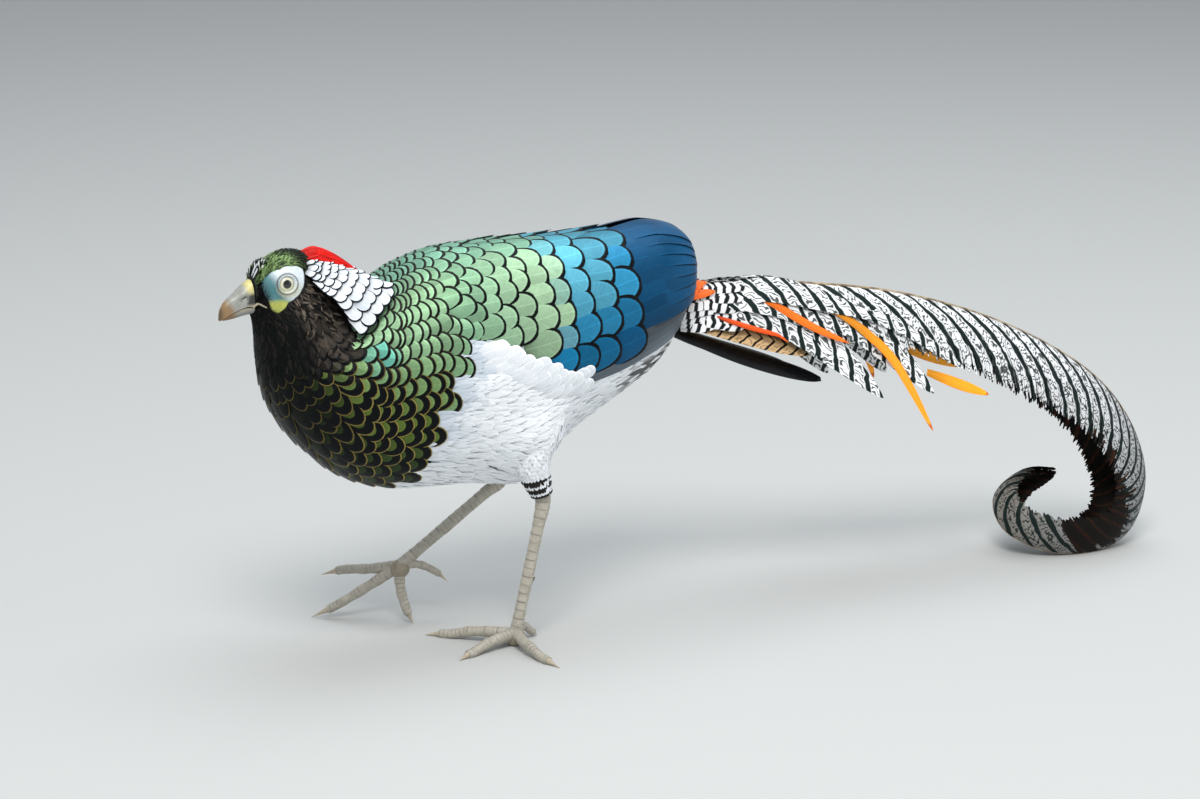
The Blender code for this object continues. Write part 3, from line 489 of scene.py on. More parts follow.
def make_vane_group():
    """Vane markings, by a superellipse distance from the vane's widest row that is 1 at its edge.

    Its value to a power is the way across to that power plus the way ahead to that power. The margin
    lies beyond one less the margin's width, and along a barb the way ahead less 0.7 of the way across
    stays the same.
    """
    group, given, result = new_group(
        "vane markings",
        [("Margin", "Color"), ("Fringe", "Color"), ("Power", "Float"), ("Barbs", "Float"),
         ("Streak", "Float"), ("Depth", "Float")],
        [("Color", "Color"), ("Height", "Float")])
    tree = group
    wide, along, _ = numbers_of(tree, vane_place(tree))
    margin, fringe, chance = numbers_of(tree, attribute(tree, "marks", "Vector"))
    across, ahead = abs(wide), along.math("MAXIMUM", along, 0.0)
    power, streaky, root_shade, barbs = (Number(tree, given.outputs[label])
                                   for label in ("Power", "Streak", "Depth", "Barbs"))
    reach = (across ** power + ahead ** power) ** (1.0 / power)
    barb = along - across * 0.7
    streak_place = vector_of(tree, barb * 9.0, wide * 1.3, chance * 37.0)
    streak = noise(tree, streak_place, 1.6, 4.0)
    wobbly = reach + (noise(tree, streak_place, 5.0, 2.0) - 0.5) * 0.09
    inner = 1.0 - margin
    dark = smooth_step(tree, inner - 0.045, inner, wobbly) * margin.math("GREATER_THAN", margin, 0.02)
    # glint is a painted highlight: a pale line just inside the dark margin.
    glint = smooth_step(tree, inner - 0.14, inner - 0.06, reach) * 0.22
    pale = smooth_step(tree, 0.93, 0.985, wobbly) * fringe
    shaft = smooth_step(tree, 0.05, 0.02, across) * 0.25
    # Painted shade: the vane darkens towards its root by the Root shade amount, as where the feather over
    # it shades it.
    shadow = smooth_step(tree, 0.15, -1.0, along) * root_shade
    light = 1.08 + (streak - 0.5) * streaky - shadow + shaft + glint
    colour = brighter(tree, attribute(tree, "tint", "Color"), light)
    colour = mix_colour(tree, dark, colour, given.outputs["Margin"])
    link(tree, mix_colour(tree, pale, colour, given.outputs["Fringe"]), result.inputs["Color"])
    wave = barb.math("SINE", barb * barbs)
    link(tree, wave * 0.35 + streak * 0.8, result.inputs["Height"])
    return group


VANE_GROUP = make_vane_group()


# depth sets the strength of the painted shade towards each feather's root.
def feather_material(name, margin, fringe, power, barbs, streak, roughness, metallic, depth=0.45, gloss=0.3,
                     sheen=0.0):
    """A feather's finish, from the vane markings with this feather's own values."""
    material, shader, tree = plain_material(name, (0.5, 0.5, 0.5), roughness)
    node = tree.nodes.new("ShaderNodeGroup")
    node.node_tree = VANE_GROUP
    node.inputs["Margin"].default_value = (*margin, 1.0)
    node.inputs["Fringe"].default_value = (*fringe, 1.0)
    for label, value in (("Power", power), ("Barbs", barbs), ("Streak", streak), ("Depth", depth)):
        node.inputs[label].default_value = value
    link(tree, node.outputs["Color"], shader.inputs["Base Color"])
    add_relief(tree, node.outputs["Height"], shader, 0.22, 0.0002)
    shader.inputs["Metallic"].default_value = metallic
    shader.inputs["Specular IOR Level"].default_value = gloss
    shader.inputs["Sheen Weight"].default_value = sheen
    return material


def tinted_finish(name, roughness, noise_scale, detail, low, span):
    """A finish in the piece's own tint, times low plus span times noise; the place and noise go with it."""
    material, shader, tree = plain_material(name, (0.5, 0.5, 0.5), roughness)
    spot = tree.nodes.new("ShaderNodeTexCoord").outputs["Object"]
    cloud = noise(tree, spot, noise_scale, detail)
    tint = brighter(tree, attribute(tree, "tint", "Color"), low + cloud * span)
    link(tree, tint, shader.inputs["Base Color"])
    return material, shader, tree, spot, cloud


def small_cells(tree, spot, scale, feature="F1"):
    """Height of small scales or pores of the skin, from the distance within Voronoi cells."""
    node = tree.nodes.new("ShaderNodeTexVoronoi")
    node.feature = feature
    node.inputs["Scale"].default_value = scale
    link(tree, spot, node.inputs["Vector"])
    return node.outputs["Distance"]


# Feather blanks
# Every feather is a thin closed lens: root sunk in the coat, widest near the end, edge drawn out fine.

def closed_grid(rows, columns):
    """Faces of an upper grid and an under grid that share their rim, for one feather."""
    upper = np.arange(rows * columns).reshape(rows, columns)
    under = upper.copy()
    inside = (rows - 2) * (columns - 2)
    under[1:-1, 1:-1] = rows * columns + np.arange(inside).reshape(rows - 2, columns - 2)

    def cells(grid):
        corners = grid[:-1, :-1], grid[1:, :-1], grid[1:, 1:], grid[:-1, 1:]
        return np.stack(corners, axis=-1).reshape(-1, 4)

    return np.concatenate([cells(upper), cells(under)[:, ::-1]])


def closed_feather(middle, out, thick, place, past):
    """Closes grids of points into thin feathers: half the thickness above, half below, rim shared."""
    count, rows, columns = middle.shape[:3]
    half = np.broadcast_to(np.asarray(thick, float), (rows,))[None, 1:-1, None, None] / 2
    under = middle[:, 1:-1, 1:-1] - half * out[:, 1:-1, 1:-1]
    upper = middle.copy()
    upper[:, 1:-1, 1:-1] += half * out[:, 1:-1, 1:-1]
    points = np.concatenate([upper.reshape(count, -1, 3), under.reshape(count, -1, 3)], axis=1)
    local = np.stack(np.broadcast_arrays(place, past), axis=-1)
    local = np.broadcast_to(local, (count, rows, columns, 2))
    inner = local[:, 1:-1, 1:-1].reshape(count, -1, 2)
    local = np.concatenate([local.reshape(count, -1, 2), inner], axis=1)
    return {"points": points, "local": local, "faces": closed_grid(rows, columns), "columns": columns}


def outline(t, power, widest, root, tip):
    """Half width at parts t of a feather, and the way past its widest row, for the vane markings.

    It swells as a quarter sine wave from root to 1. Then it falls as a superellipse: its value to the
    power and the way past to the power make one together.
    """
    past = np.clip((t - widest) / (1 - widest), 0.0, 1.0)
    wide = np.where(t < widest, root + (1 - root) * np.sin(0.5 * pi * np.clip(t / widest, 0, 1)),
                    np.maximum(1 - past ** power, 0.0) ** (1 / power))
    wide = np.where(t > 1 - SMALL, tip, wide)
    return wide, (t - widest) / (1 - widest)


def feather_steps(rows):
    """Parts of a feather's length from root to tip, closer together towards the tip."""
    return 1 - (1 - np.linspace(0.0, 1.0, rows)) ** 1.5


def lay(surface, u, v, length, width, way=-1.0, sway=0.0, rows=7, columns=5, power=2.2, widest=0.55,
        root=0.6, tip=0.2, sink=-1.6, rise=0.5, cup=0.35, thick=0.3, bend=1.0, lean=0.0):
    """Feathers that run from (u, v) along way times u, turned by sway, curved with the surface.

    A point of the vane stands at (u, v) plus the surface's own steps for its way along and across,
    lifted from sink at the root to rise at the tip and dropped by cup at the sides.
    """
    u, v, length, width, way, sway, sink, rise, lean = (
        np.broadcast_to(np.asarray(a, float), np.shape(u))[:, None, None]
        for a in (u, v, length, width, way, sway, sink, rise, lean))
    step = 1e-3
    by_u = (surface(u + step, v, 0.0) - surface(u - step, v, 0.0)) / (2 * step)
    by_v = (surface(u, v + step, 0.0) - surface(u, v - step, 0.0)) / (2 * step)
    normal = unit(surface(u, v, 1.0) - surface(u, v, 0.0))
    straight = unit(by_u * way[..., None])
    beside = np.cross(normal, straight)
    ahead = np.cos(sway)[..., None] * straight + np.sin(sway)[..., None] * beside
    across = np.cross(normal, ahead)

    def steps(direction):
        a, b = (direction * by_u).sum(-1), (direction * by_v).sum(-1)
        e, f, g = (by_u * by_u).sum(-1), (by_u * by_v).sum(-1), (by_v * by_v).sum(-1)
        spread = e * g - f * f
        return (g * a - f * b) / spread, (e * b - f * a) / spread

    t = feather_steps(rows)
    wide, past = outline(t, power, widest, root, tip)
    c = np.linspace(-1.0, 1.0, columns)
    y = length * t[None, :, None]
    x = width / 2 * wide[None, :, None] * c[None, None, :]
    y = y - lean * x
    ahead_u, ahead_v = steps(ahead)
    across_u, across_v = steps(across)
    full = np.ones_like(x)
    high = sink + (rise - sink) * (t[None, :, None] ** bend) - cup * (c[None, None, :] ** 2) * full
    at_u, at_v = u + ahead_u * y + across_u * x, v + ahead_v * y + across_v * x
    middle = surface(at_u, at_v, high)
    out = unit(surface(at_u, at_v, high + 0.5) - middle)
    blank = closed_feather(middle, out, thick * (1 - 0.6 * t), c[None, :] * wide[:, None], past[:, None])
    seen, mid = int(0.62 * rows), columns // 2
    blank["seen"] = at_u[:, seen, mid], at_v[:, seen, mid]
    return blank


PATCH = 0.0015


def feather_piece(name, laid, root_uv, tint, marks, material, nodes=()):
    """Joins laid feathers into one mesh piece with its colours, marks and bake map, and fastens it."""
    blanks = laid if isinstance(laid, list) else [laid]
    points, faces, vane, start = [], [], [], 0
    for blank in blanks:
        count, each = blank["points"].shape[:2]
        offsets = start + each * np.arange(count)
        faces.append((blank["faces"][None] + offsets[:, None, None]).reshape(-1, 4))
        points.append(blank["points"].reshape(-1, 3))
        vane.append(blank["local"].reshape(-1, 2))
        start += count * each
    each = np.concatenate([np.full(len(b["points"]), b["points"].shape[1]) for b in blanks])
    vane = np.concatenate(vane)
    spread = np.clip(vane * np.array((0.9, 0.6)), -1, 1)
    bake = np.repeat(root_uv, each, axis=0) + PATCH * spread
    piece = build_mesh(name, np.concatenate(points), np.concatenate(faces), np.repeat(tint, each, axis=0),
                       np.repeat(marks, each, axis=0), vane, bake)
    return fasten(piece, material, nodes)


def fasten(piece, material, nodes=()):
    """Gives a piece its finish and slot, hides the solids it stands for, and fastens it to the body it
    rides on.
    """
    piece.data.materials.append(material)
    if nodes:
        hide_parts(*nodes)
    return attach(piece, "root")


def rows_on(surface, u_rows, low, high, pitch):
    """Staggered places on a surface: for each u a row of v from low(u) to high(u), pitch(u, v) apart."""
    places = []
    for number, u in enumerate(u_rows):
        v = np.linspace(low(u), high(u), 300)
        line = surface(u, v, 0.0)
        between = np.linalg.norm(np.diff(line, axis=0), axis=1) / pitch(u, (v[1:] + v[:-1]) / 2)
        count = np.concatenate([[0.0], np.cumsum(between)])
        marks = np.arange(0.25 + 0.5 * (number % 2), count[-1], 1.0)
        places.append(np.stack([np.full(len(marks), u), np.interp(marks, count, v)], axis=1))
    return np.concatenate(places)


def graded_rows(surface, start, end, v, first, last):
    """Values of u from start to end along v, their gaps growing evenly from first to last."""
    u = np.linspace(start, end, 500)
    line = surface(u, np.full(500, float(v)), 0.0)
    length = np.concatenate([[0.0], np.cumsum(np.linalg.norm(np.diff(line, axis=0), axis=1))])
    gaps = np.linspace(first, last, int(2 * length[-1] / (first + last)))
    return np.interp(np.concatenate([[0.0], np.cumsum(gaps)]), length, u)


# Body coat
# Round scale-like feathers in staggered rows from neck to rump, each over the root of the next.

scale_finish = feather_material("scale feathers", MARGIN_BLACK, paint("#a3924e"), 2.2, 190.0, 0.65, 0.36,
                                0.3, 0.6, 0.15)
down_finish = feather_material("white down feathers", MARGIN_BLACK, WHITE, 2.0, 60.0, 0.16, 0.8, 0.0,
                               0.12, 0.2, 0.3)
WING_FRONT, WING_BACK = 8.1, 0.45
WING_LOW = [(0.0, 58.0), (0.10, 66.0), (0.20, 77.0), (0.30, 90.0), (0.39, 101.0), (0.5, 109.0),
            (0.75, 112.0), (0.92, 105.0), (1.0, 88.0), (1.12, 80.0)]
TILES_END = 3.83
WING_TOP = [(0.0, 30.0), (0.3, 20.0), (0.7, 13.0), (1.0, 12.0)]
rng = np.random.default_rng(11)


def body_uv(s, turn):
    """Where a place on the body lies on the flat unwrap of its skin."""
    return together(0.02 + 0.62 * s / FACE_END, 0.5 + 0.48 * ((turn + pi) % (2 * pi) - pi) / pi)


def wing_part(s):
    """How far back station s lies on the wing: 0 at its front and 1 at its last station."""
    return (WING_FRONT - s) / (WING_FRONT - WING_BACK)


def slice_height(s, turn):
    """How far one station step reaches on the surface at this angle, against the bird's side."""

    def reach(at):
        return np.linalg.norm(body(s - 0.1, at) - body(s + 0.1, at), axis=-1)

    return np.clip(reach(turn) / reach(0 * turn + pi / 2), 0.45, 1.7)


def scale_pitch(s, turn):
    """Distance between neighbouring body feathers, small up the neck and over the throat."""
    return profile([(0, 8.5), (3, 10.0), (8, 10.8), (10.5, 9.5), (12, 7.5), (13.5, 5.2), (15, 3.4),
                    (19, 2.4)], s)


def scale_feathers(name, places, row_gap, pitch, nodes=(), high=0.0, winged=False):
    """Scale feathers at the places, each row over the next, coloured as they show at their ends."""
    blunt = 2.9 if winged else 2.35
    s, turn = places.T
    count = len(s)
    sway = rng.normal(0, 0.07, count)
    laid = lay(body, s, turn, 2.05 * row_gap + 3.0, 1.40 * pitch, -1.0, sway, rows=9, columns=7,
               power=blunt, widest=0.45, sink=high - 1.6 + 0.4 * (high > 0),
               rise=high + 0.75 + 0.3 * rng.random(count), cup=0.4, thick=0.35)
    colour, margin, fringe, _ = plumage(*laid["seen"], True)
    colour = colour * (1 + 0.36 * (rng.random(count) - 0.5))[:, None]
    marks = together(margin, fringe, rng.random(count))
    kept = np.where(winged, s > TILES_END, plumage(*laid["seen"])[3] < 0.5)
    laid = dict(laid, points=laid["points"][kept], local=laid["local"][kept])
    return feather_piece(name, laid, body_uv(s, turn)[kept], colour[kept], marks[kept], scale_finish,
                         nodes)


rows = graded_rows(body, 13.4, WING_FRONT - 0.9, pi / 2, 5.6, 7.6)
places = rows_on(body, rows, lambda s: -pi, lambda s: pi, scale_pitch)
places[:, 0] += rng.normal(0, 0.03, len(places))
s, turn = places.T
places = places[(wing_part(s) < 0.03) | (from_back(turn) > profile(WING_LOW, wing_part(s)) - 4)]
s, turn = places.T
scale_feathers("coat_scales", places, 6.8 * slice_height(s, turn), scale_pitch(s, turn))

WHITE_AHEAD = 0.4
RUMP_GOLD = paint("#dd8a2c")
RUMP_END = np.array((153.0, -2.0, 202.0))
SWELL_MIDDLE, SWELL_HEIGHT = 5.5, 9.5


def thigh_swell(s, turn):
    """How far the belly feathers stand out over each thigh: a bell curve along, faded above and below."""
    angle = from_back(turn)
    away = (s - SWELL_MIDDLE) / np.where(s > SWELL_MIDDLE, 0.75, 0.5)
    return SWELL_HEIGHT * np.exp(-away ** 2) * fade(104, 130, angle) * fade(179, 158, angle)


def belly(s, turn, lift=0.0):
    """The body surface with the swell of the belly feathers over each thigh."""
    return body(s, turn, lift + thigh_swell(s, turn))


def rump_gold(s, turn):
    """How golden the rump is, from its sides up to the back, just ahead of the tail's root."""
    return 0.9 * fade(1.7, 1.1, s) * fade(116, 104, from_back(turn))


rows = graded_rows(body, 8.7, 0.10, pi / 2, 3.8, 4.4)
places = rows_on(body, rows, lambda s: -pi, lambda s: pi, lambda s, turn: 2.9 + 0 * turn)
places = places + rng.normal(0, (0.05, 0.02), places.shape)
s, turn = places.T
under = from_back(turn) < profile(WING_LOW, wing_part(s)) - 12
hidden = (wing_part(s) > 0.1) & (wing_part(s) < 0.92) & under
places = places[(plumage(s - WHITE_AHEAD, turn)[3] > 0.5) & ~hidden]
s, turn = places.T
count = len(s)
laid = lay(belly, s, turn, rng.uniform(11, 17, count), rng.uniform(3.2, 5.0, count), -1.0,
           rng.normal(0, 0.13, count), rows=5, columns=3, power=1.7, widest=0.4, tip=0.05, sink=-1.0,
           rise=rng.uniform(0.3, 0.62, count), cup=0.12, thick=0.18)
colour = plumage(s - WHITE_AHEAD, turn)[0] * rng.uniform(0.95, 1.05, count)[:, None]
angle = from_back(turn)
vent = fade(3.9, 3.3, s) * fade(116, 128, angle) * (np.sin(s * 13 + 1.5 * np.sin(angle * 0.21)) > -0.6)
colour = toward(colour, MARGIN_BLACK, 0.92 * vent)
colour = toward(colour, RUMP_GOLD, rump_gold(s, turn))
feather_piece("coat_white", laid, body_uv(s, turn), colour, together(0.0, 0.0, rng.random(count)),
              down_finish)


def rump(s, turn, lift=0.0):
    """The rump's surface, carried on past the body's end and drawn together over the tail's root."""
    point = body(s, turn, lift)
    return point + 0.8 * np.clip(-np.asarray(s, float), 0.0, 1.0)[..., None] * (RUMP_END - point)


rump_rng = np.random.default_rng(5)
rows = np.linspace(1.9, 0.35, 7)
places = rows_on(rump, rows, lambda s: -2.0, lambda s: 2.0, lambda s, turn: 3.2 + 0 * turn)
s, turn = places.T
count = len(s)
laid = lay(rump, s, turn, rump_rng.uniform(11, 15, count), rump_rng.uniform(4.0, 5.4, count), -1.0,
           rump_rng.normal(0, 0.10, count), rows=7, columns=5, power=2.0, widest=0.5, tip=0.1, sink=-0.8,
           rise=rump_rng.uniform(0.5, 1.0, count), cup=0.25, thick=0.25)
tone = toward(RUMP_GOLD, paint("#e8641a"), fade(1.0, 0.4, s) * rump_rng.random(count))
feather_piece("rump_feathers", laid, body_uv(s, turn), tone * rump_rng.uniform(0.85, 1.15, count)[:, None],
              together(0.0, 0.0, rump_rng.random(count)), down_finish)

# Skin
# One skin from rump to forehead and down both thighs, under the feathers' roots and bare on the face.

LID_RADIUS = 5.3
NEAR_HOCK = np.array((20.0, -35.0, 86.0))
FAR_HOCK = np.array((27.0, 35.0, 83.0))
NEAR_FOOT = np.array((1.0, -35.0, 7.0))
FAR_FOOT = np.array((-40.0, 41.0, 35.0))


def tube_rings(points, radii, sides):
    """Rings of points round a path, with a steady sideways direction; radii may differ round a ring."""
    points = np.asarray(points, float)
    along = unit(np.gradient(points, axis=0))
    run = np.abs(points[-1] - points[0])
    guide = np.array((1.0, 0.0, 0.0)) if run[2] > run[0] else UP
    side = unit(np.cross(along, guide))
    over = np.cross(side, along)
    turn = np.arange(sides) * 2 * pi / sides
    radii = np.asarray(radii, float).reshape(len(points), -1, 1)
    return points[:, None] + radii * (side[:, None] * np.cos(turn)[None, :, None]
                                      + over[:, None] * np.sin(turn)[None, :, None])


def ring_faces(count, sides):
    """Quads round a stack of rings, and a fan of triangles over each end."""
    grid = np.arange(count * sides).reshape(count, sides)
    grid = np.concatenate([grid, grid[:, :1]], axis=1)
    quads = np.stack([grid[:-1, :-1], grid[:-1, 1:], grid[1:, 1:], grid[1:, :-1]], axis=-1).reshape(-1, 4)
    first, last = count * sides, count * sides + 1
    fans = np.concatenate([together(grid[0, 1:], grid[0, :-1], first),
                           together(grid[-1, :-1], grid[-1, 1:], last)])
    return quads, fans


def signed_volume(points, quads, fans):
    """Six times the volume inside the faces; its sign tells which way they point."""
    tris = np.concatenate([quads[:, [0, 1, 2]], quads[:, [0, 2, 3]], fans])
    a, b, c = points[tris[:, 0]], points[tris[:, 1]], points[tris[:, 2]]
    return np.einsum("ij,ij->i", a, np.cross(b, c)).sum()


def solid_rings(rings):
    """Points and outward faces of a closed stack of rings, with the middle of each end added."""
    points = np.concatenate([rings.reshape(-1, 3), rings[:1].mean(axis=1), rings[-1:].mean(axis=1)])
    quads, fans = ring_faces(*rings.shape[:2])
    if signed_volume(points, quads, fans) < 0:
        quads, fans = quads[:, ::-1], fans[:, ::-1]
    return points, quads, fans


def join_parts(name, parts, material, nodes, sharp=60):
    """Joins closed parts, each points, quads, fans, colours and a bake map or none, into one piece."""
    points, quads, fans, colours, bake = zip(*parts)
    starts = np.cumsum([0] + [len(part) for part in points[:-1]])
    faces = [np.concatenate([part + start for part, start in zip(group, starts)])
             for group in (quads, fans)]
    bake = None if bake[0] is None else np.concatenate(bake)
    piece = build_mesh(name, np.concatenate(points), faces, np.concatenate(colours), None, None, bake,
                       sharp)
    return fasten(piece, material, nodes)


FACE_WHITE, FACE_TEAL, LAPPET_GREEN = paint("#d5dfe4"), paint("#2f7379"), paint("#b4b85a")
LID_BROWN, LID_PALE = paint("#3d2a1a"), paint("#cfd0ae")
FACE_EDGE = [(-153, 8.9), (-115, 8.9), (-86, 10.6), (-79, 14.0), (-68, 18.2), (-55, 17.4), (-43, 15.6),
             (-24, 15.4), (-3, 15.6), (9, 15.0), (28, 12.8), (66, 9.9), (110, 10.9), (128, 12.6),
             (145, 13.6), (172, 10.9)]


def face_patch(points):
    """1 on the bare skin round each eye and its hanging fold, from its reach at each angle."""
    found = np.zeros(points.shape[:-1])
    for side in (1, -1):
        ahead, up, out = face_place(points, side)
        angle = np.degrees(np.arctan2(up, ahead))
        reach = np.interp(angle, *zip(*FACE_EDGE), period=360)
        found = np.maximum(found, fade(1.0, 0.92, np.hypot(ahead, up) / reach) * (out > -7))
    return found


def face_tone(ahead, up):
    """White above and behind the eye, teal before it, yellow-green on the fold below."""
    tone = toward(FACE_WHITE, FACE_TEAL, 0.95 * fade(1.0, 9.5, ahead - 0.55 * up) * fade(14, 7, up))
    tone = toward(tone, paint("#123038"), 0.8 * fade(9.5, 15.0, ahead - 0.3 * up))
    tone = toward(tone, LID_PALE, 0.6 * fade(9.0, 6.5, np.hypot(ahead, up)) * fade(2.0, -4.0, up))
    return toward(tone, LAPPET_GREEN,
                  fade(-7.0, -10.0, up + 0.12 * (ahead - 7) ** 2 / 4) * fade(15, 11, ahead))


s_rows = np.concatenate([np.linspace(0, 13.6, 120), np.linspace(13.65, FACE_END, 190)])
turns = np.arange(224) * 2 * pi / 224
s_grid, turn_grid = np.meshgrid(s_rows, turns, indexing="ij")
on_body = body(s_grid, turn_grid, 0.0)
bare = face_patch(on_body)
lid_line = np.zeros(bare.shape)
depth = -1.9 + 1.0 * fade(13.2, 15.2, s_grid) + 1.0 * bare + 0.9 * thigh_swell(s_grid, turn_grid)
for side in (1, -1):
    from_eye = on_body - eye_centre(side)
    across, rise, out = (from_eye @ axis for axis in eye_axes(side))
    near_eye = np.hypot(across, rise / 0.92)
    depth += 0.9 * fade(9.5, 6.0, near_eye) * (out > 0) - 6.5 * fade(5.0, 3.6, near_eye) * (out > 0)
    lid_line = np.maximum(lid_line, np.exp(-((near_eye - 6.3) / 0.5) ** 2) * (out > 0))
    from_fold = np.hypot((across * -side - 8.0) / 4.2, (rise + 11.5) / 6.0)
    depth += 1.4 * fade(1.1, 0.3, from_fold) * (out > -4)
skin_rings = body(s_grid, turn_grid, depth)
colour, _, _, white = plumage(s_grid, turn_grid)
# Painted shade: under the feathers the skin takes the plumage colour dimmed to 0.6 (0.95 under white), as
# the shade between their roots.
colour = colour * (0.6 + 0.35 * white)[..., None]
colour = toward(colour, 0.8 * RUMP_GOLD, rump_gold(s_grid, turn_grid))
tone = toward(colour, THROAT_BLACK, 0.8 * fade(13.5, 15.0, s_grid))
left_side = (skin_rings - EYE_MIDDLE) @ LEFT > 0
ahead, up = (np.where(left_side, near, far) for near, far in
             zip(face_place(skin_rings, 1)[:2], face_place(skin_rings, -1)[:2]))
tone = toward(toward(tone, face_tone(ahead, up), bare), LID_BROWN, 0.9 * lid_line)
tone = np.concatenate([tone.reshape(-1, 3), tone[0].mean(0)[None], tone[-1].mean(0)[None]])
flat = np.concatenate([body_uv(s_grid, turn_grid).reshape(-1, 2), np.array([[0.01, 0.5], [0.65, 0.5]])])
skin_parts = [(*solid_rings(skin_rings), tone, flat)]


def own_row(side):
    """Where a side's own strips begin on the bake map."""
    return 0.1 if side == 1 else 0.3


def thigh_route(side, hock, steps=7):
    """From the hip down to the cuff of feathers just over the hock."""
    hip = np.array((24.0, side * -26.0, 146.0))
    knee = hock + np.array((-8.0, 0.0, 31.0))
    cuff = hock + np.array((-1.0, 0.0, 5.5))
    return smooth_through((0, 1, 2), [hip, knee, cuff], np.linspace(0, 2, steps))


THIGH_RADII = [(0, 18), (1, 18.5), (2, 16.5), (3, 13.0), (4, 10.5), (5, 8.4), (6, 6.4)]
THIGH_STEPS = 40
part = np.linspace(0, 1, THIGH_STEPS)
for side, hock in ((1, NEAR_HOCK), (-1, FAR_HOCK)):
    route = thigh_route(side, hock, THIGH_STEPS)
    points, quads, fans = solid_rings(tube_rings(route, profile(THIGH_RADII, 6 * part) - 1.6, THIGH_STEPS))
    flat = together(0.66 + 0.05 * part[:, None], own_row(side) + 0.15 * part).reshape(-1, 2)
    flat = np.concatenate([flat, flat[:1], flat[-1:]])
    # Painted shade: the thigh skin under the white feathers is dimmed to 0.7 of white.
    skin_parts.append((points, quads, fans, np.broadcast_to(0.7 * WHITE, points.shape), flat))


def lid_rings(side, around=64, sides=10):
    """The two lids as a raised almond ring: a small circle carried round the eye's opening."""
    across, up, out = eye_axes(side)
    angle = np.arange(around + 1) * 2 * pi / around
    spoke = np.cos(angle)[:, None] * across + np.sin(angle)[:, None] * up
    middle = eye_centre(side) + LID_RADIUS * spoke + out * (EYE_RADIUS - 2.0)
    a = np.arange(sides) * 2 * pi / sides
    thick = 0.85 * (1 + 0.2 * np.sin(angle))[:, None, None]
    return middle[:, None] + thick * (np.cos(a)[None, :, None] * spoke[:, None]
                                      + 1.15 * np.sin(a)[None, :, None] * out)


for side in (1, -1):
    rings = lid_rings(side)
    count, sides = rings.shape[:2]
    grid = np.arange((count - 1) * sides).reshape(count - 1, sides)
    grid = np.concatenate([grid, grid[:1]])
    grid = np.concatenate([grid, grid[:, :1]], axis=1)
    quads = np.stack([grid[:-1, :-1], grid[:-1, 1:], grid[1:, 1:], grid[1:, :-1]], axis=-1).reshape(-1, 4)
    points = rings[:-1].reshape(-1, 3)
    if side == -1:
        quads = quads[:, ::-1]
    facing = np.cos(np.arange(sides) * 2 * pi / sides)
    edge = np.maximum(fade(0.6, 0.95, -facing), 0.85 * fade(0.15, 0.5, facing))
    at = np.repeat(np.arange(count - 1) / count, sides)
    around = np.tile(np.arange(sides) / sides, count - 1)
    skin_parts.append((points, quads, np.zeros((0, 3), int),
                       toward(LID_PALE, LID_BROWN, np.tile(edge, count - 1)),
                       together(0.73 + 0.02 * around, own_row(side) + 0.15 * at)))

LIP = paint("#a89d86")
GAPE = [(18.6, radians(123)), (17.6, radians(130)), (16.9, radians(131))]
for side in (1, -1):
    corner = np.array((-151.8, -4.6, 218.5)) + 1.5 * AHEAD + side * 6.2 * LEFT
    knots = np.array([corner] + [body(s, side * turn, 0.15) for s, turn in GAPE])
    t = np.linspace(0.0, 1.0, 40)
    route = smooth_through(np.linspace(0, 1, 4), knots, t)
    points, quads, fans = solid_rings(tube_rings(route, 0.75 - 0.35 * t, 12))
    skin_parts.append((points, quads, fans, np.broadcast_to(LIP, points.shape),
                       np.tile([[0.76, own_row(side)]], (len(points), 1))))

skin_finish, shader, tree, spot, _ = tinted_finish("bare skin", 0.55, 900.0, 3.0, 0.72, 0.5)
add_relief(tree, small_cells(tree, spot, 1300.0), shader, 0.5, 0.0003)
shader.inputs["Subsurface Weight"].default_value = 0.05
join_parts("skin", skin_parts, skin_finish,
           ("torso", "neck", "head", "thigh_left", "thigh_right"), 70)

# Wings
# Folded wings of tile-like coverts over long flight feathers, green in front and blue behind.

flight_finish = feather_material("flight feathers", paint("#03060a"), paint("#6f8794"), 3.0, 300.0, 0.35,
                                 0.3, 0.4, 0.35, 0.2)
SLATE = paint("#59626a")


def route_on(surface, root_u, root_v, tip_u, tip_v, low, high, rows):
    """Centre lines of feathers straight across a surface's measure, rising from low to high."""
    t = feather_steps(rows)[None, :]
    root_u, root_v, tip_u, tip_v, low, high = (
        np.broadcast_to(np.asarray(a, float), np.shape(root_u))[:, None]
        for a in (root_u, root_v, tip_u, tip_v, low, high))
    u, v = root_u + (tip_u - root_u) * t, root_v + (tip_v - root_v) * t
    lift = low + (high - low) * np.minimum(t * 2.5, 1.0)
    return surface(u, v, lift), unit(surface(u, v, lift + 1.0) - surface(u, v, lift))


def run_along(lines):
    """Distance run along each centre line, row by row."""
    steps = np.linalg.norm(np.diff(lines, axis=1), axis=-1)
    return np.concatenate([np.zeros((len(lines), 1)), np.cumsum(steps, axis=1)], axis=1)


def ribbons(lines, outs, half, columns=5, power=2.2, widest=0.6, root=0.6, tip=0.2, cup=0.0, thick=0.4):
    """Feathers along centre lines; half is the half width of each, or at each row of each."""
    t = run_along(lines)
    t = t / t[:, -1:]
    wide, past = outline(t, power, widest, root, tip)
    half = np.asarray(half, float)
    half = half if half.ndim == 2 else half.reshape(-1, 1) * wide
    along = unit(np.gradient(lines, axis=1))
    side = unit(np.cross(outs, along))
    normal = np.cross(along, side)
    c = np.linspace(-1.0, 1.0, columns)
    middle = lines[:, :, None] + (half[..., None] * c)[..., None] * side[:, :, None]
    middle = middle - (cup * wide[..., None] * c ** 2)[..., None] * normal[:, :, None]
    out = np.broadcast_to(normal[:, :, None], middle.shape)
    thin = thick * (1 - 0.6 * np.linspace(0, 1, lines.shape[1]))
    return closed_feather(middle, out, thin, wide[..., None] * c, past[..., None] + 0 * c)


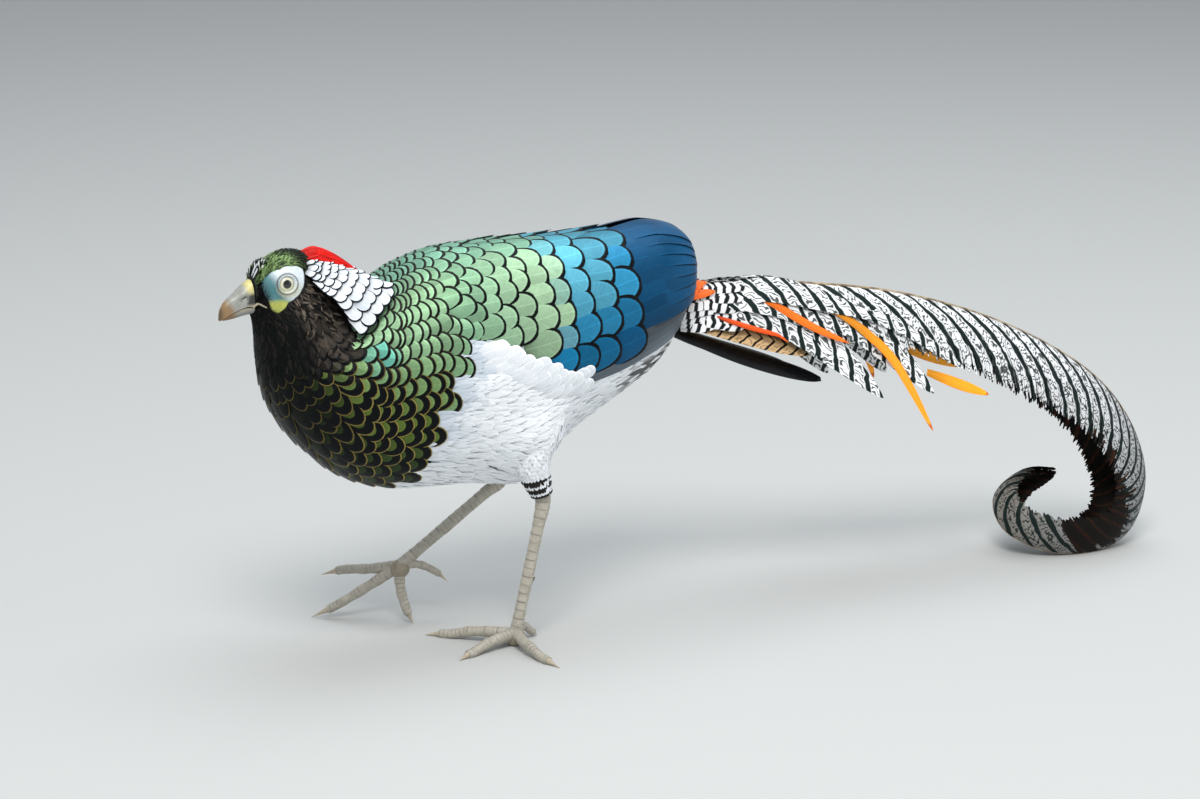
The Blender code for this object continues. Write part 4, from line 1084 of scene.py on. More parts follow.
def wing_surface(side):
    """The closed wing over the body: u from shoulder to wing tip, v from lower edge to back."""
    def surface(u, v, lift=0.0):
        u, v, lift = arrays(u, v, lift)
        s = WING_FRONT + (WING_BACK - WING_FRONT) * u
        low, top = profile(WING_LOW, u), profile(WING_TOP, u)
        turn = side * np.radians(low + (top - low) * v)
        past = np.maximum(u - 1.0, 0.0)[..., None]
        return body(s, turn, lift) + past * np.array((150.0, side * 24.0, -26.0))
    return surface


def wing_uv(side, u, v):
    """A wing's own sheet on the bake map, above the body's and inside its skin's blank corner."""
    return together(0.78 + 0.18 * u / 1.1, (0.64 if side == 1 else 0.76) + 0.10 * v)


def wing_pitch(s, turn):
    """Distance between neighbouring tiles of a row: broad behind, narrower in front and over the back."""
    broad = profile([(0, 18.0), (2.5, 20.0), (4.2, 18.0), (5.2, 15.5), (6.5, 13.0), (8.1, 10.8)], s)
    return broad * (0.72 + 0.28 * fade(0.0, 0.6, turn))


def tile_low(s):
    """Angle in degrees of the tiles' lower edge: the wing's own, higher behind over the primaries."""
    return profile(WING_LOW, wing_part(s)) - 5 - 23 * fade(5.0, 1.9, s)


def flank_feathers(side, word):
    """Three rows of soft white feathers that lap over the front of the wing's lower edge."""
    each = 14
    count = 3 * each
    s = np.tile(np.linspace(6.75, 4.75, each), 3) + np.repeat((0.0, 0.1, 0.02), each)
    s = s + rng.normal(0, 0.03, count)
    turn = side * np.radians(tile_low(s) + np.repeat((13.0, 9.5, 6.0), each) + rng.normal(0, 0.8, count))
    laid = lay(body, s, turn, rng.uniform(14, 17, count), rng.uniform(8.5, 11.0, count), -1.0,
               side * rng.uniform(0.22, 0.36, count), rows=9, columns=5, power=2.7, widest=0.55, root=0.5,
               tip=0.3, sink=-1.0,
               rise=np.repeat((0.2, 0.9, 1.6), each) + 2.0 * fade(0.0, 0.35, wing_part(s)), cup=0.4,
               thick=0.25, bend=0.6)
    # Painted shade: each flank feather is tinged blue-grey by a random amount.
    tone = toward(WHITE, PAINTED_SHADE_BLUE, 0.25 * rng.random(count))
    feather_piece("flank_feathers_" + word, laid, body_uv(s, turn), tone,
                  together(0.0, 0.0, rng.random(count)), down_finish)


def flight_feathers(name, side, roots, tips, low, high, steps, shape, tone, margin, fringe):
    """Long wing feathers from roots to tips, each (u, v) on the wing; each tier lies on the one below."""
    tier = np.arange(len(tone))
    lines, outs = route_on(wing_surface(side), *roots, *tips, low[0] + low[1] * tier,
                           high[0] + high[1] * tier, steps)
    marks = together(margin, fringe, rng.random(len(tone)))
    feather_piece(name, ribbons(lines, outs, *shape), wing_uv(side, roots[0], tips[1]), tone, marks,
                  flight_finish)


FRONT_GAP, BACK_GAP = 7.4, 18.5
SECONDARIES, PRIMARIES = 8, 5
secondary_v = np.linspace(0.34, 0.98, SECONDARIES)
secondary_roots = np.full(SECONDARIES, 0.60), 0.24 + 0.72 * (secondary_v - 0.30) / 0.67
primary_v = np.linspace(0.03, 0.29, PRIMARIES)
primary_roots = np.linspace(0.36, 0.50, PRIMARIES), 0.6 * primary_v + 0.02
rows = graded_rows(body, WING_FRONT - 0.15, 1.15, radians(70), FRONT_GAP, BACK_GAP)
for side, word in ((1, "left"), (-1, "right")):
    places = rows_on(body, rows, lambda s: 0.0, lambda s: radians(tile_low(s)), wing_pitch)
    s, turn = places.T
    s = s + rng.normal(0, 0.03, len(s))
    gap = np.interp(wing_part(s), (0.0, 0.91), (FRONT_GAP, BACK_GAP))
    over = 2.0 * fade(0.0, 0.35, wing_part(s)) * fade(radians(4), radians(22), turn)
    scale_feathers("wing_coverts_" + word, together(s, side * turn), gap, wing_pitch(s, turn),
                   ("wing_" + word,), over, True)
    flank_feathers(side, word)
    tips = 1.028 - 0.06 * np.abs(np.linspace(-1, 1, SECONDARIES)) + rng.uniform(-0.006, 0.006, SECONDARIES)
    tone = plumage(np.full(SECONDARIES, 1.2), 0.9)[0] * rng.uniform(0.75, 1.35, SECONDARIES)[:, None]
    flight_feathers("wing_secondaries_" + word, side, secondary_roots, (tips, secondary_v), (0.8, -0.25),
                    (3.6, 0.32), 24, (np.full(SECONDARIES, 10.0), 7, 2.6, 0.72, 0.75, 0.4, 0.9, 0.5),
                    tone, 0.035, 0.0)
    flight_feathers("wing_primaries_" + word, side, primary_roots,
                    ((0.955, 0.975, 0.995, 1.01, 1.025), primary_v), (-0.2, -0.15), (0.8, 0.2), 30,
                    (np.full(PRIMARIES, 6.5), 5, 3.0, 0.7, 0.5, 0.35, 0.3, 0.3),
                    SLATE * np.linspace(1.5, 0.7, PRIMARIES)[:, None], 0.05, 0.9)

# Ruff and crest
# A cape of round white feathers edged in blue-black behind the head, and narrow scarlet strands above it.

ruff_finish = feather_material("ruff feathers", paint("#0a0f18"), paint("#e8ecf0"), 2.3, 60.0, 0.16, 0.6,
                               0.0, 0.55, 0.1)
CAPE_ROOT = [(-1.0, (-121.5, 13.0, 235.5)), (-0.5, (-117.0, 9.5, 241.0)),
             (0.0, (-114.0, -0.5, 243.0)), (0.5, (-117.0, -11.5, 241.0)), (1.0, (-121.5, -16.0, 235.5))]
CAPE_RIM = [(-1.0, (-99.0, 37.5, 203.0)), (-0.75, (-82.0, 34.0, 212.0)), (-0.5, (-68.0, 24.0, 222.0)),
            (-0.25, (-70.5, 13.0, 224.5)), (0.0, (-75.0, 0.0, 222.5)), (0.25, (-70.5, -13.0, 224.5)),
            (0.5, (-68.0, -24.0, 222.0)), (0.75, (-82.0, -34.0, 212.0)), (1.0, (-99.0, -37.5, 203.0))]


def cape(u, v, lift=0.0):
    """The cape: u from its root on the nape to its rim, v from right to left, swelled as a sine between."""
    u, v, lift = arrays(u, v, lift)

    def sheet(u, v):
        start = smooth_through(*zip(*CAPE_ROOT), v)
        end = smooth_through(*zip(*CAPE_RIM), v)
        out = unit((start + end) / 2 - np.array((-106.0, 0.0, 208.0)))
        swell = 4.0 * np.sin(pi * u) * (0.1 + 0.9 * np.abs(v))
        return start + (end - start) * u[..., None] + swell[..., None] * out

    v = np.clip(v, -0.998, 0.998)
    across = sheet(u + 1e-3, v) - sheet(u - 1e-3, v)
    around = sheet(u, v + 1e-3) - sheet(u, v - 1e-3)
    return sheet(u, v) + lift[..., None] * unit(np.cross(around, across))


ruff_rows = graded_rows(cape, -0.02, 0.80, 0.7, 3.0, 7.0)
places = rows_on(cape, ruff_rows, lambda u: -0.99, lambda u: 0.99, lambda u, v: 3.2 + 4.6 * u)
places = places[~((np.abs(places[:, 1]) < 0.16) & (places[:, 0] < 0.62))]
u, v = places.T
u = u + rng.normal(0, 0.008, len(u))
side_growth = 0.75 + 0.35 * np.abs(v)
laid = lay(cape, u, v, (6.0 + 8.0 * u) * side_growth, 1.45 * (3.2 + 4.6 * u), 1.0,
           rng.normal(0, 0.07, len(u)), rows=9, columns=7, power=2.3, widest=0.5, sink=-0.9,
           rise=1.2 + 0.5 * rng.random(len(u)) - 1.5 * v ** 6, cup=0.35, thick=0.3)
# Painted shade: the ruff's white is dimmed and tinged blue-grey by a random amount for each feather.
tone = toward(0.86 * WHITE, PAINTED_SHADE_BLUE, 0.45 * rng.random(len(u)))
marks = together(0.145 + 0.08 * fade(0.3, 0.0, u) + 0.04 * fade(0.6, 0.9, u), 0.0, rng.random(len(u)))
feather_piece("ruff", laid, together(0.80 + 0.15 * u, 0.20 + 0.14 * (v + 1)), tone, marks,
              ruff_finish, ("neck",))

CREST_ROUTE = [(0.0, (-119.5, -1.9, 247.0)), (0.25, (-110.0, -1.2, 246.0)), (0.5, (-98.5, -0.5, 240.6)),
               (0.75, (-87.0, -0.2, 232.0)), (1.0, (-77.0, 0.0, 223.0))]
CREST_SPREAD = 6.8


def crest(u, v, lift=0.0):
    """The narrow crest down the nape: u along it, v across it, its sides falling as the square of v."""
    u, v, lift = arrays(u, v, lift)

    def sheet(u, v):
        line = smooth_through(*zip(*CREST_ROUTE), u)
        return line + together(0 * v, -CREST_SPREAD * v, -0.9 * CREST_SPREAD * v * v)

    along = sheet(u + 1e-3, v) - sheet(u - 1e-3, v)
    across = sheet(u, v + 1e-3) - sheet(u, v - 1e-3)
    return sheet(u, v) + lift[..., None] * unit(np.cross(across, along))


crest_finish = feather_material("crest strands", paint("#5a0503"), paint("#ff4a2a"), 2.2, 30.0, 0.7, 0.38,
                                0.0, 0.2, 0.2)
count = 300
begin = 0.5 * rng.uniform(0.0, 1.0, count) ** 1.7
spread = rng.uniform(-1.0, 1.0, count)
finish_u = np.minimum(begin + rng.uniform(0.42, 0.6, count), 1.02)
lines, outs = route_on(crest, begin, spread, finish_u, spread * rng.uniform(0.75, 1.0, count), -0.8,
                       rng.uniform(1.2, 2.4, count), 14)
laid = ribbons(lines, outs, rng.uniform(0.45, 0.7, count), 5, 1.6, 0.35, 0.6, 0.05, 0.15, 0.4)
tone = paint("#d01106") * rng.uniform(0.6, 1.15, count)[:, None]
marks = together(0.0, 0.15, rng.random(count))
feather_piece("crest", laid, together(0.80 + 0.15 * begin, 0.55 + 0.04 * spread), tone, marks, crest_finish)

# Head feathers
# Fine short feathers over crown, cheeks and throat, leaving the skin round the eyes bare.

head_finish = feather_material("head feathers", MARGIN_BLACK, paint("#7f8f52"), 2.0, 40.0, 0.9, 0.45, 0.2,
                               0.6, 0.12)
CROWN_GREEN, CROWN_GOLD = paint("#0f1a0d"), paint("#84a268")
MOTTLE = paint("#6b6156")
rows = graded_rows(body, FACE_END - 0.05, 11.6, pi / 2, 1.05, 1.9)
places = rows_on(body, rows, lambda s: -pi, lambda s: pi,
                 lambda s, turn: profile([(11, 3.0), (13, 2.6), (15, 1.9), (16, 1.35), (19, 1.15)], s))
s, turn = places.T
s = s + rng.normal(0, 0.02, len(s))
turn = turn + rng.normal(0, 0.02, len(s))
keep = (face_patch(body(s, turn)) < 0.35) & ~((np.abs(turn) < 1.0) & (s < 15.2))
share = np.maximum(fade(12.0, 13.3, s), 0.7 * fade(1.9, 1.6, np.abs(turn)) * fade(11.5, 12.2, s))
keep &= rng.random(len(s)) < share
s, turn = s[keep], turn[keep]
level = np.abs(turn)
crown = fade(1.10, 0.92, level) * fade(15.2, 15.8, s)
tone = toward(plumage(s, turn)[0], THROAT_BLACK, np.maximum(fade(13.5, 14.6, s), 0.85))
mottled = fade(11.4, 12.2, s) * fade(16.9, 15.9, s) * fade(1.05, 1.2, level) * fade(1.95, 1.65, level)
chance = rng.random(len(s))
throat_front = fade(1.7, 2.1, level) * fade(12.0, 13.0, s)
tone = tone * (1 + 1.6 * throat_front * chance)[:, None]
tone = toward(tone, THROAT_BROWN, 0.5 * throat_front * fade(0.75, 0.95, chance))
tone = toward(tone, THROAT_BROWN, mottled * fade(0.1, 0.5, chance))
tone = toward(tone, MOTTLE, (0.25 + 0.45 * fade(12.5, 15.0, s)) * mottled * fade(0.55, 0.95, chance))
tone = toward(tone, CROWN_GREEN, crown)
gold = crown * fade(17.0, 17.9, s + 1.5 * (level - 0.25)) * fade(19.3, 18.5, s + 0.6 * (level < 0.5))
tone = toward(tone, CROWN_GOLD, gold * (0.15 + 0.85 * rng.random(len(s))))
tuft = fade(18.1, 18.6, s) * fade(0.95, 0.6, level)
tone = toward(tone, WHITE, 0.9 * tuft * (turn > -0.1) * (turn < 0.45) * (rng.random(len(s)) < 0.55))
long = profile([(11, 9.0), (13, 8.5), (15, 5.6), (16.2, 3.0), (19, 2.3)], s)
long = long * rng.uniform(0.85, 1.25, len(s)) + 3.2 * tuft
wide = long * (0.34 + 0.16 * crown * (1 - tuft) - 0.12 * mottled)
sway = rng.normal(0, 0.2, len(s)) * (1 + 1.3 * mottled)
laid = lay(body, s, turn, long, wide, -1.0, sway, rows=5, columns=3, power=1.7, widest=0.4, tip=0.05,
           sink=-0.5,
           rise=0.3 + 0.25 * rng.random(len(s)) + 2.3 * tuft + 0.8 * mottled * rng.random(len(s)),
           cup=0.12, thick=0.25)
marks = together(0.0, 0.5 * crown, rng.random(len(s)))
for word, chosen in (("left", turn >= 0), ("right", turn < 0)):
    picked = dict(laid, points=laid["points"][chosen], local=laid["local"][chosen])
    feather_piece("head_feathers_" + word, picked, body_uv(s, turn)[chosen], tone[chosen], marks[chosen],
                  head_finish)

# Eyes
# Glossy glass eyes with a black pupil and a cream iris, each turned a little forward.

eye_material, shader, tree = plain_material("glass eye", (0.8, 0.8, 0.6), 0.06)
shader.inputs["Coat Weight"].default_value = 1.0
shader.inputs["Coat Roughness"].default_value = 0.02
reach = tree.nodes.new("ShaderNodeVectorMath")
reach.operation = "LENGTH"
link(tree, vane_place(tree), reach.inputs[0])
ramp = tree.nodes.new("ShaderNodeValToRGB")
ramp.color_ramp.elements[0].position = 0.0
stops = [(0.0, "#020202"), (0.375, "#020202"), (0.40, "#6b6450"), (0.43, "#d8d4bc"), (0.58, "#ebe7d2"),
         (0.67, "#d2c996"), (0.71, "#3a2c1e"), (1.0, "#1a130d")]
while len(ramp.color_ramp.elements) < len(stops):
    ramp.color_ramp.elements.new(0.5)
for element, (where, code) in zip(ramp.color_ramp.elements, stops):
    element.position = where
    element.color = (*paint(code), 1.0)
link(tree, Number(tree, reach.outputs["Value"]) / EYE_RADIUS, ramp.inputs[0])
link(tree, ramp.outputs[0], shader.inputs["Base Color"])


def globe(tilt, spin):
    """Points of a ball of radius one: tilt down from its pole, spin round it."""
    return together(np.outer(np.sin(tilt), np.cos(spin)), np.outer(np.sin(tilt), np.sin(spin)),
                    np.cos(tilt)[:, None])


tilt = np.linspace(0.0, pi, 50)[1:-1]
spin = np.arange(72) * 2 * pi / 72
for side, word in ((1, "left"), (-1, "right")):
    across, rise, out = eye_axes(side)
    bulge = EYE_RADIUS + 0.25 * np.exp(-(tilt / 0.6) ** 2)
    local = bulge[:, None, None] * globe(tilt, spin)
    rings = eye_centre(side) + local @ np.array([across, rise, out])
    points, quads, fans = solid_rings(rings)
    points[-2] = eye_centre(side) + (EYE_RADIUS + 0.25) * out
    points[-1] = eye_centre(side) - EYE_RADIUS * out
    flat = np.concatenate([local[..., :2].reshape(-1, 2), [[0, 0], [6, 0]]])
    eye = build_mesh("eyeball_" + word, points, [quads, fans], None, None, flat, None, 80)
    fasten(eye, eye_material, ("eye_" + word,))

# Bill
# Two horn halves, the upper hooked over the lower, with a soft yellow-green skin over the nostrils.

BILL_ROOT = np.array((-151.8, -4.6, 0.0))
BILL_LENGTH = 20.0
BILL_WIDTH = 6.9
UPPER_BILL = [(0.0, 233.6, 218.6, 1.0), (0.25, 230.6, 219.0, 0.9), (0.5, 226.6, 217.4, 0.74),
              (0.72, 223.6, 215.3, 0.57), (0.88, 220.4, 213.4, 0.40), (0.97, 216.6, 212.1, 0.24),
              (1.0, 213.4, 211.6, 0.10)]
LOWER_BILL = [(0.0, 218.2, 213.9, 0.92), (0.3, 218.5, 213.0, 0.78), (0.55, 216.6, 212.1, 0.58),
              (0.78, 214.3, 211.6, 0.38), (0.88, 213.1, 211.5, 0.2)]
bill_finish, shader, tree, _, cloud = tinted_finish("bill horn", 0.38, 320.0, 4.0, 0.72, 0.56)
add_relief(tree, cloud, shader, 0.3, 0.0002)
HORN, HORN_TIP, CERE = paint("#94968f"), paint("#8f7352"), paint("#cfc57e")
HORN_DARK = paint("#232522")


def bill_half(sections, keel, steps=60, sides=40):
    """Rings of one bill half: flat at the mouth, rounded above as the angle's sine to the power keel."""
    table = np.array(sections)
    part = np.linspace(0, 1, steps) ** 0.9 * table[-1, 0]
    rows = smooth_through(table[:, 0], table[:, 1:], part)
    turn = np.linspace(0.0, 2 * pi, sides, endpoint=False)
    top = np.maximum(np.sin(turn), 0.0)
    side = rows[:, 2:3] * BILL_WIDTH * np.sign(np.cos(turn)) * np.abs(np.cos(turn)) ** 0.8
    outer, inner = rows[:, 0:1], rows[:, 1:2]
    high = inner + (outer - inner) * top ** keel
    high = high + 0.5 * np.minimum(np.sin(turn), 0) * np.sign(inner - outer)
    base = BILL_ROOT + (0.3 + part * BILL_LENGTH)[:, None] * AHEAD
    return base[:, None] + side[..., None] * LEFT + high[..., None] * UP


def nostril_dent(points):
    """How deep the nostril's slit and how swollen the flap over it are, each as a bell curve."""
    forward = (points - BILL_ROOT) @ AHEAD
    up = points[..., 2]
    slope = 0.35 * (forward - 6.4)
    slit = np.exp(-((forward - 6.4 + 0.3 * (up - 224)) / 2.1) ** 2 - ((up - 224.0 + slope) / 0.75) ** 2)
    flap = np.exp(-((forward - 6.0) / 3.0) ** 2 - ((up - 226.4 + slope) / 1.7) ** 2)
    return slit, flap


for name, sections, keel in (("bill_upper", UPPER_BILL, 1.0), ("bill_lower", LOWER_BILL, 1.2)):
    if name == "bill_lower":
        sections = [(part, under, top - 0.3, half) for part, top, under, half in sections]
    rings = bill_half(sections, keel)
    sideways = (rings - BILL_ROOT) @ LEFT
    forward = (rings - BILL_ROOT) @ AHEAD
    height = rings[..., 2]
    tone = toward(HORN, HORN_TIP, fade(12, 18, forward + 0.5 * (222 - height)))
    tone = toward(tone, HORN_DARK, 0.5 * fade(17.5, 20, forward))
    tone = toward(tone, CERE, 0.95 * fade(6.0, 2.5, forward) * fade(225, 228.5, height))
    tone = toward(tone, HORN_DARK,
                  0.92 * fade(5.6, 3.4, forward + 0.35 * (height - 222)) * fade(227.0, 225.5, height)
                  * fade(218.9, 220.0, height))
    from_mouth = np.abs(height - (219.2 - 0.28 * forward))
    tone = toward(tone, LIP, 0.8 * fade(1.6, 0.4, from_mouth) * fade(15, 8, forward))
    if name == "bill_upper":
        slit, flap = nostril_dent(rings)
        push = 0.7 * flap - 1.3 * slit
        rings = rings + (np.sign(sideways) * push * (np.abs(sideways) > 1.5))[..., None] * LEFT
        # Painted shade: the nostril's slit is darkened as well as dented, for the shade in its hollow.
        tone = tone * (1 - 0.85 * np.clip(slit * 1.2, 0, 1))[..., None]
    points, quads, fans = solid_rings(rings)
    tones = np.concatenate([tone.reshape(-1, 3), tone[:1, 0], tone[-1:, 0]])
    fasten(build_mesh(name + "_horn", points, [quads, fans], tones, None, None, None, 50), bill_finish,
           (name,))

# Thighs
# Soft white plumes down the thighs, ending in a cuff with narrow dark bars above the hock.


def thigh_surface(side, hock):
    """The thigh as a surface: u from hip to cuff, v once round it."""
    knots = np.linspace(0, 1, 60)
    route = thigh_route(side, hock, 60)
    radii = profile(THIGH_RADII, knots * 6)
    along = unit(np.gradient(route, axis=0))
    beside = unit(np.cross(along, np.array((1.0, 0.0, 0.0))))
    over = np.cross(beside, along)

    def surface(u, v, lift=0.0):
        u, v, lift = arrays(u, v, lift)

        def read(rows):
            return np.stack([np.interp(u, knots, rows[:, k]) for k in range(3)], axis=-1)

        out = np.cos(2 * pi * v)[..., None] * read(beside) + np.sin(2 * pi * v)[..., None] * read(over)
        return read(route) + (np.interp(u, knots, radii) + lift)[..., None] * out
    return surface


cuff_finish = feather_material("thigh feathers", paint("#15130f"), WHITE, 2.0, 60.0, 0.3, 0.75, 0.0, 0.3,
                               0.3)
for side, hock, word in ((1, NEAR_HOCK, "left"), (-1, FAR_HOCK, "right")):
    thigh = thigh_surface(side, hock)
    rows = graded_rows(thigh, 0.0, 0.97, 0.0, 3.4, 1.8)
    places = rows_on(thigh, rows, lambda u: 0.0, lambda u: 1.0, lambda u, v: 3.3 - 1.7 * u)
    u, v = places.T
    barred = (u > 0.66) & (np.sin(56.0 * u + 0.8 * np.sin(4 * pi * v)) > -0.15)
    tone = toward(WHITE, paint("#1d1a17"), barred)
    tone = tone * rng.uniform(0.85, 1.05, len(u))[:, None]
    laid = lay(thigh, u, v, 11.0 - 7.0 * u, 3.6 - 1.3 * u, 1.0, rng.normal(0, 0.10, len(u)), rows=5,
               columns=3, power=2.2, widest=0.5, tip=0.15, sink=-0.9, rise=0.5, cup=0.2, thick=0.3)
    marks = together(0.0, 0.0, rng.random(len(u)))
    at = together(0.66 + 0.05 * u, own_row(side) + 0.15 * v)
    feather_piece("thigh_feathers_" + word, laid, at, tone, marks, cuff_finish)

# Legs and feet
# Bare scaly legs with broad scutes in front, small scales behind, a spur, and blunt pale claws.

leg_finish, shader, tree, spot, _ = tinted_finish("leg scales", 0.42, 260.0, 4.0, 0.62, 0.76)
add_relief(tree, small_cells(tree, spot, 750.0, "DISTANCE_TO_EDGE"), shader, 0.35, 0.0003)
LEG_GREY, LEG_GROOVE, SOLE = paint("#aba699"), paint("#554e44"), paint("#8f8674")
CLAW_PALE, CLAW_BASE = paint("#b3a892"), paint("#7d7264")
TARSUS_RADIUS = 3.6
TOE_RADIUS = 3.0


def scutes(distance, front, pitch, depth):
    """Step of overlapping scutes along a limb: a saw tooth of the distance, on the front only."""
    tooth = (distance / pitch) % 1.0
    return depth * front * (tooth - 0.5), fade(0.86, 1.0, tooth) * front


def limb_piece(route, radii, front, pitch, tone, sides=28, depth=0.32, floor=False):
    """One scaly limb; front is the direction that carries the broad scutes."""
    along = unit(np.gradient(route, axis=0))
    run = np.concatenate([[0.0], np.cumsum(np.linalg.norm(np.diff(route, axis=0), axis=1))])
    rings = tube_rings(route, radii, sides)
    out = unit(rings - route[:, None])
    facing = fade(-0.15, 0.45, out @ unit(front))
    step, groove = scutes(run[:, None], facing, pitch, depth)
    rear_step, rear_groove = scutes(run[:, None] + 0.5 * pitch, 1 - facing, 0.55 * pitch, 0.6 * depth)
    rings = rings + (step + rear_step)[..., None] * out
    if floor:
        rings[..., 2] = np.maximum(rings[..., 2], 0.0)
    colour = toward(tone, LEG_GROOVE, np.clip(0.8 * groove + 0.5 * rear_groove, 0, 1))
    points, quads, fans = solid_rings(rings)
    colours = np.concatenate([colour.reshape(-1, 3), colour[:1, 0], colour[-1:, 0]])
    return points, quads, fans, colours, None


NEAR_TOES = {"hallux": ((8, 6, 2.0), (15, 9, -3.0), (20, 11, -6.5)),
             "inner": ((-17, 18, -1.0), (-30, 32, -5.0), (-40, 42, -6.8)),
             "middle": ((-18, -4, -1.0), (-33, -8, -5.0), (-43, -12, -6.8)),
             "outer": ((-2, -19, -1.0), (0, -37, -5.0), (3, -52, -6.8))}
FAR_TOES = {"hallux": ((11, -2, 0.0), (22, -4, -5.5), (30, -5, -13.0)),
            "inner": ((-1, -3, -13.0), (1, -7, -26.0), (4, -10, -34.8)),
            "middle": ((-16, 10, -13.0), (-33, 22, -26.5), (-46, 31, -34.8)),
            "outer": ((-13, 15, -4.0), (-24, 30, -7.0), (-34, 42, -12.0))}
CLAW_FROM = 0.74
for side, hock, foot, toes, word in ((1, NEAR_HOCK, NEAR_FOOT, NEAR_TOES, "left"),
                                     (-1, FAR_HOCK, FAR_FOOT, FAR_TOES, "right")):
    thigh_line = thigh_route(side, hock)
    down = unit(thigh_line[-1] - thigh_line[-2])
    knots = np.array([thigh_line[-1] - 6.0 * down, thigh_line[-1] + 2.5 * down]
                     + [hock + (foot - hock) * part for part in (0.02, 0.14, 0.5, 0.85, 1.0)])
    reach = np.concatenate([[0], np.cumsum(np.linalg.norm(np.diff(knots, axis=0), axis=1))])
    at = np.linspace(0, reach[-1], 190)
    route = smooth_through(reach, knots, at)
    radii = smooth_through(reach, (4.2, 4.7, 4.5, 3.8, TARSUS_RADIUS, 3.5, 4.0), at)
    parts = [limb_piece(route, radii, np.array((-1.0, side * -0.35, 0.1)), 5.2, LEG_GREY)]
    base = hock + 0.62 * (foot - hock)
    spur = smooth_through((0, 1, 2), [base, base + (3.6, side * 1.5, 0.6), base + (7.5, side * 3.0, 2.4)],
                          np.linspace(0, 2, 24))
    spur_radii = smooth_through((0, 1, 2), (2.2, 1.6, 0.4), np.linspace(0, 2, 24))
    parts.append(limb_piece(spur, spur_radii, UP, 40.0, CLAW_BASE, 16, 0.0))
    pad = np.linspace(0.12, pi - 0.12, 26)
    spin = np.arange(36) * 2 * pi / 36
    pad_rings = globe(pad, spin) * (1, 1, 0.9) * 6.2 + foot - (0, 0, 2.0)
    pad_rings[..., 2] = np.maximum(pad_rings[..., 2], 0.0)
    points, quads, fans = solid_rings(pad_rings)
    parts.append((points, quads, fans, np.broadcast_to(SOLE, points.shape), None))
    join_parts("leg_" + word, parts, leg_finish, ("tarsus_" + word,))
    claw_parts = []
    for toe, knots in toes.items():
        small = 0.8 if toe == "hallux" else 1.0
        t = np.linspace(0.0, 3.0, 150)
        line = foot + smooth_through(range(4), [(0, 0, 0)] + list(knots), t)
        nodes_t = np.linspace(0.3, 3.0, 9)
        swelling = (1.12, 1.08, 0.98, 1.0, 0.9, 0.92, 0.78, 0.5, 0.2)
        radii = small * TOE_RADIUS * smooth_through(nodes_t, swelling, t)[:, 0]
        line[:, 2] = np.maximum(line[:, 2], 0.8 * radii)
        horny = int(CLAW_FROM * len(t))
        knuckles = 1 + 0.07 * np.sin(t * 2 * pi) ** 2
        skin = limb_piece(line[:horny + 4], (radii * knuckles)[:horny + 4], UP, 2.7, LEG_GREY, 24, 0.26,
                          True)
        join_parts("toe_" + toe + "_skin_" + word, [skin], leg_finish,
                   ("toe_" + toe + "_" + word,))
        claw_line = line[horny - 2:]
        shrink = np.linspace(0.78, 0.25, len(claw_line))
        claw_radii = radii[horny - 2:] * shrink / shrink[0] * 0.9
        claw_parts.append(limb_piece(claw_line, claw_radii, UP, 40.0, CLAW_PALE, 18, 0.0, True))
    join_parts("claws_" + word, claw_parts, bill_finish, ())

# Tail, long pair
# Two very long middle feathers: a tan quill with close-set bundles of barbs that curve to the tip.

TAIL_ROUTE = np.array([
    (112, -1, 194), (136, -2, 198), (160, -3, 199.5), (214, -7, 195), (286, -11, 182),
    (359, -16, 157), (421, -22, 122), (455, -26, 86), (469, -30, 46), (457, -35, 13.5),
    (428, -38, 0.8), (392, -34, 3.8), (368, -18, 16.5), (371, 1, 33), (397, 13, 42), (430, 19, 40)])
TAIL_HALF_WIDTH = 40.0
TAIL_WIDTHS = [(0.0, 0.16), (0.08, 0.34), (0.2, 0.78), (0.36, 1.0), (0.55, 0.98), (0.68, 0.84),
               (0.78, 0.66), (0.9, 0.50), (0.97, 0.30), (1.0, 0.08)]
TAIL_DROOP = radians(62)
knots = np.arange(len(TAIL_ROUTE))
TAIL_FINE = smooth_through(knots, TAIL_ROUTE, np.linspace(0, knots[-1], 900))
TAIL_RUN = np.concatenate([[0], np.cumsum(np.linalg.norm(np.diff(TAIL_FINE, axis=0), axis=1))])
TAIL_ALONG = unit(np.gradient(TAIL_FINE, axis=0))
tail_up = [UP]
for direction in TAIL_ALONG[1:]:
    kept = tail_up[-1] - direction * (tail_up[-1] @ direction)
    tail_up.append(kept / np.linalg.norm(kept))
TAIL_UP = np.array(tail_up)
TAIL_LENGTH = TAIL_RUN[-1]


def tail_frames(t):
    """Points, directions, left and up along the long feathers' quill, for parts t of its length."""
    place = np.asarray(t, float) * TAIL_LENGTH

    def read(rows):
        return np.stack([np.interp(place, TAIL_RUN, rows[:, k]) for k in range(3)], axis=-1)

    along, up = unit(read(TAIL_ALONG)), unit(read(TAIL_UP))
    return read(TAIL_FINE), along, np.cross(along, up), up


def tail_half_width(t):
    """How far the long feathers' vanes reach out from the quill, in millimetres."""
    return TAIL_HALF_WIDTH * profile(TAIL_WIDTHS, t)


def tail_side(t, v, lift=0.0, least=20.0):
    """The vault of the long feathers: t along, v from -1 right to 1 left and past the edges."""
    t, v, lift = arrays(t, v, lift)
    point, along, left, up = tail_frames(t)
    droop = TAIL_DROOP * (0.62 + 0.38 * np.minimum(np.abs(v), 1.0))
    reach = np.maximum(tail_half_width(t), least) * np.abs(v)
    sideways = np.sign(v) * reach * np.cos(droop)
    out = (np.sign(v) * np.sin(droop))[..., None] * left + np.cos(droop)[..., None] * up
    place = point + sideways[..., None] * left - (reach * np.sin(droop))[..., None] * up
    return place + lift[..., None] * out


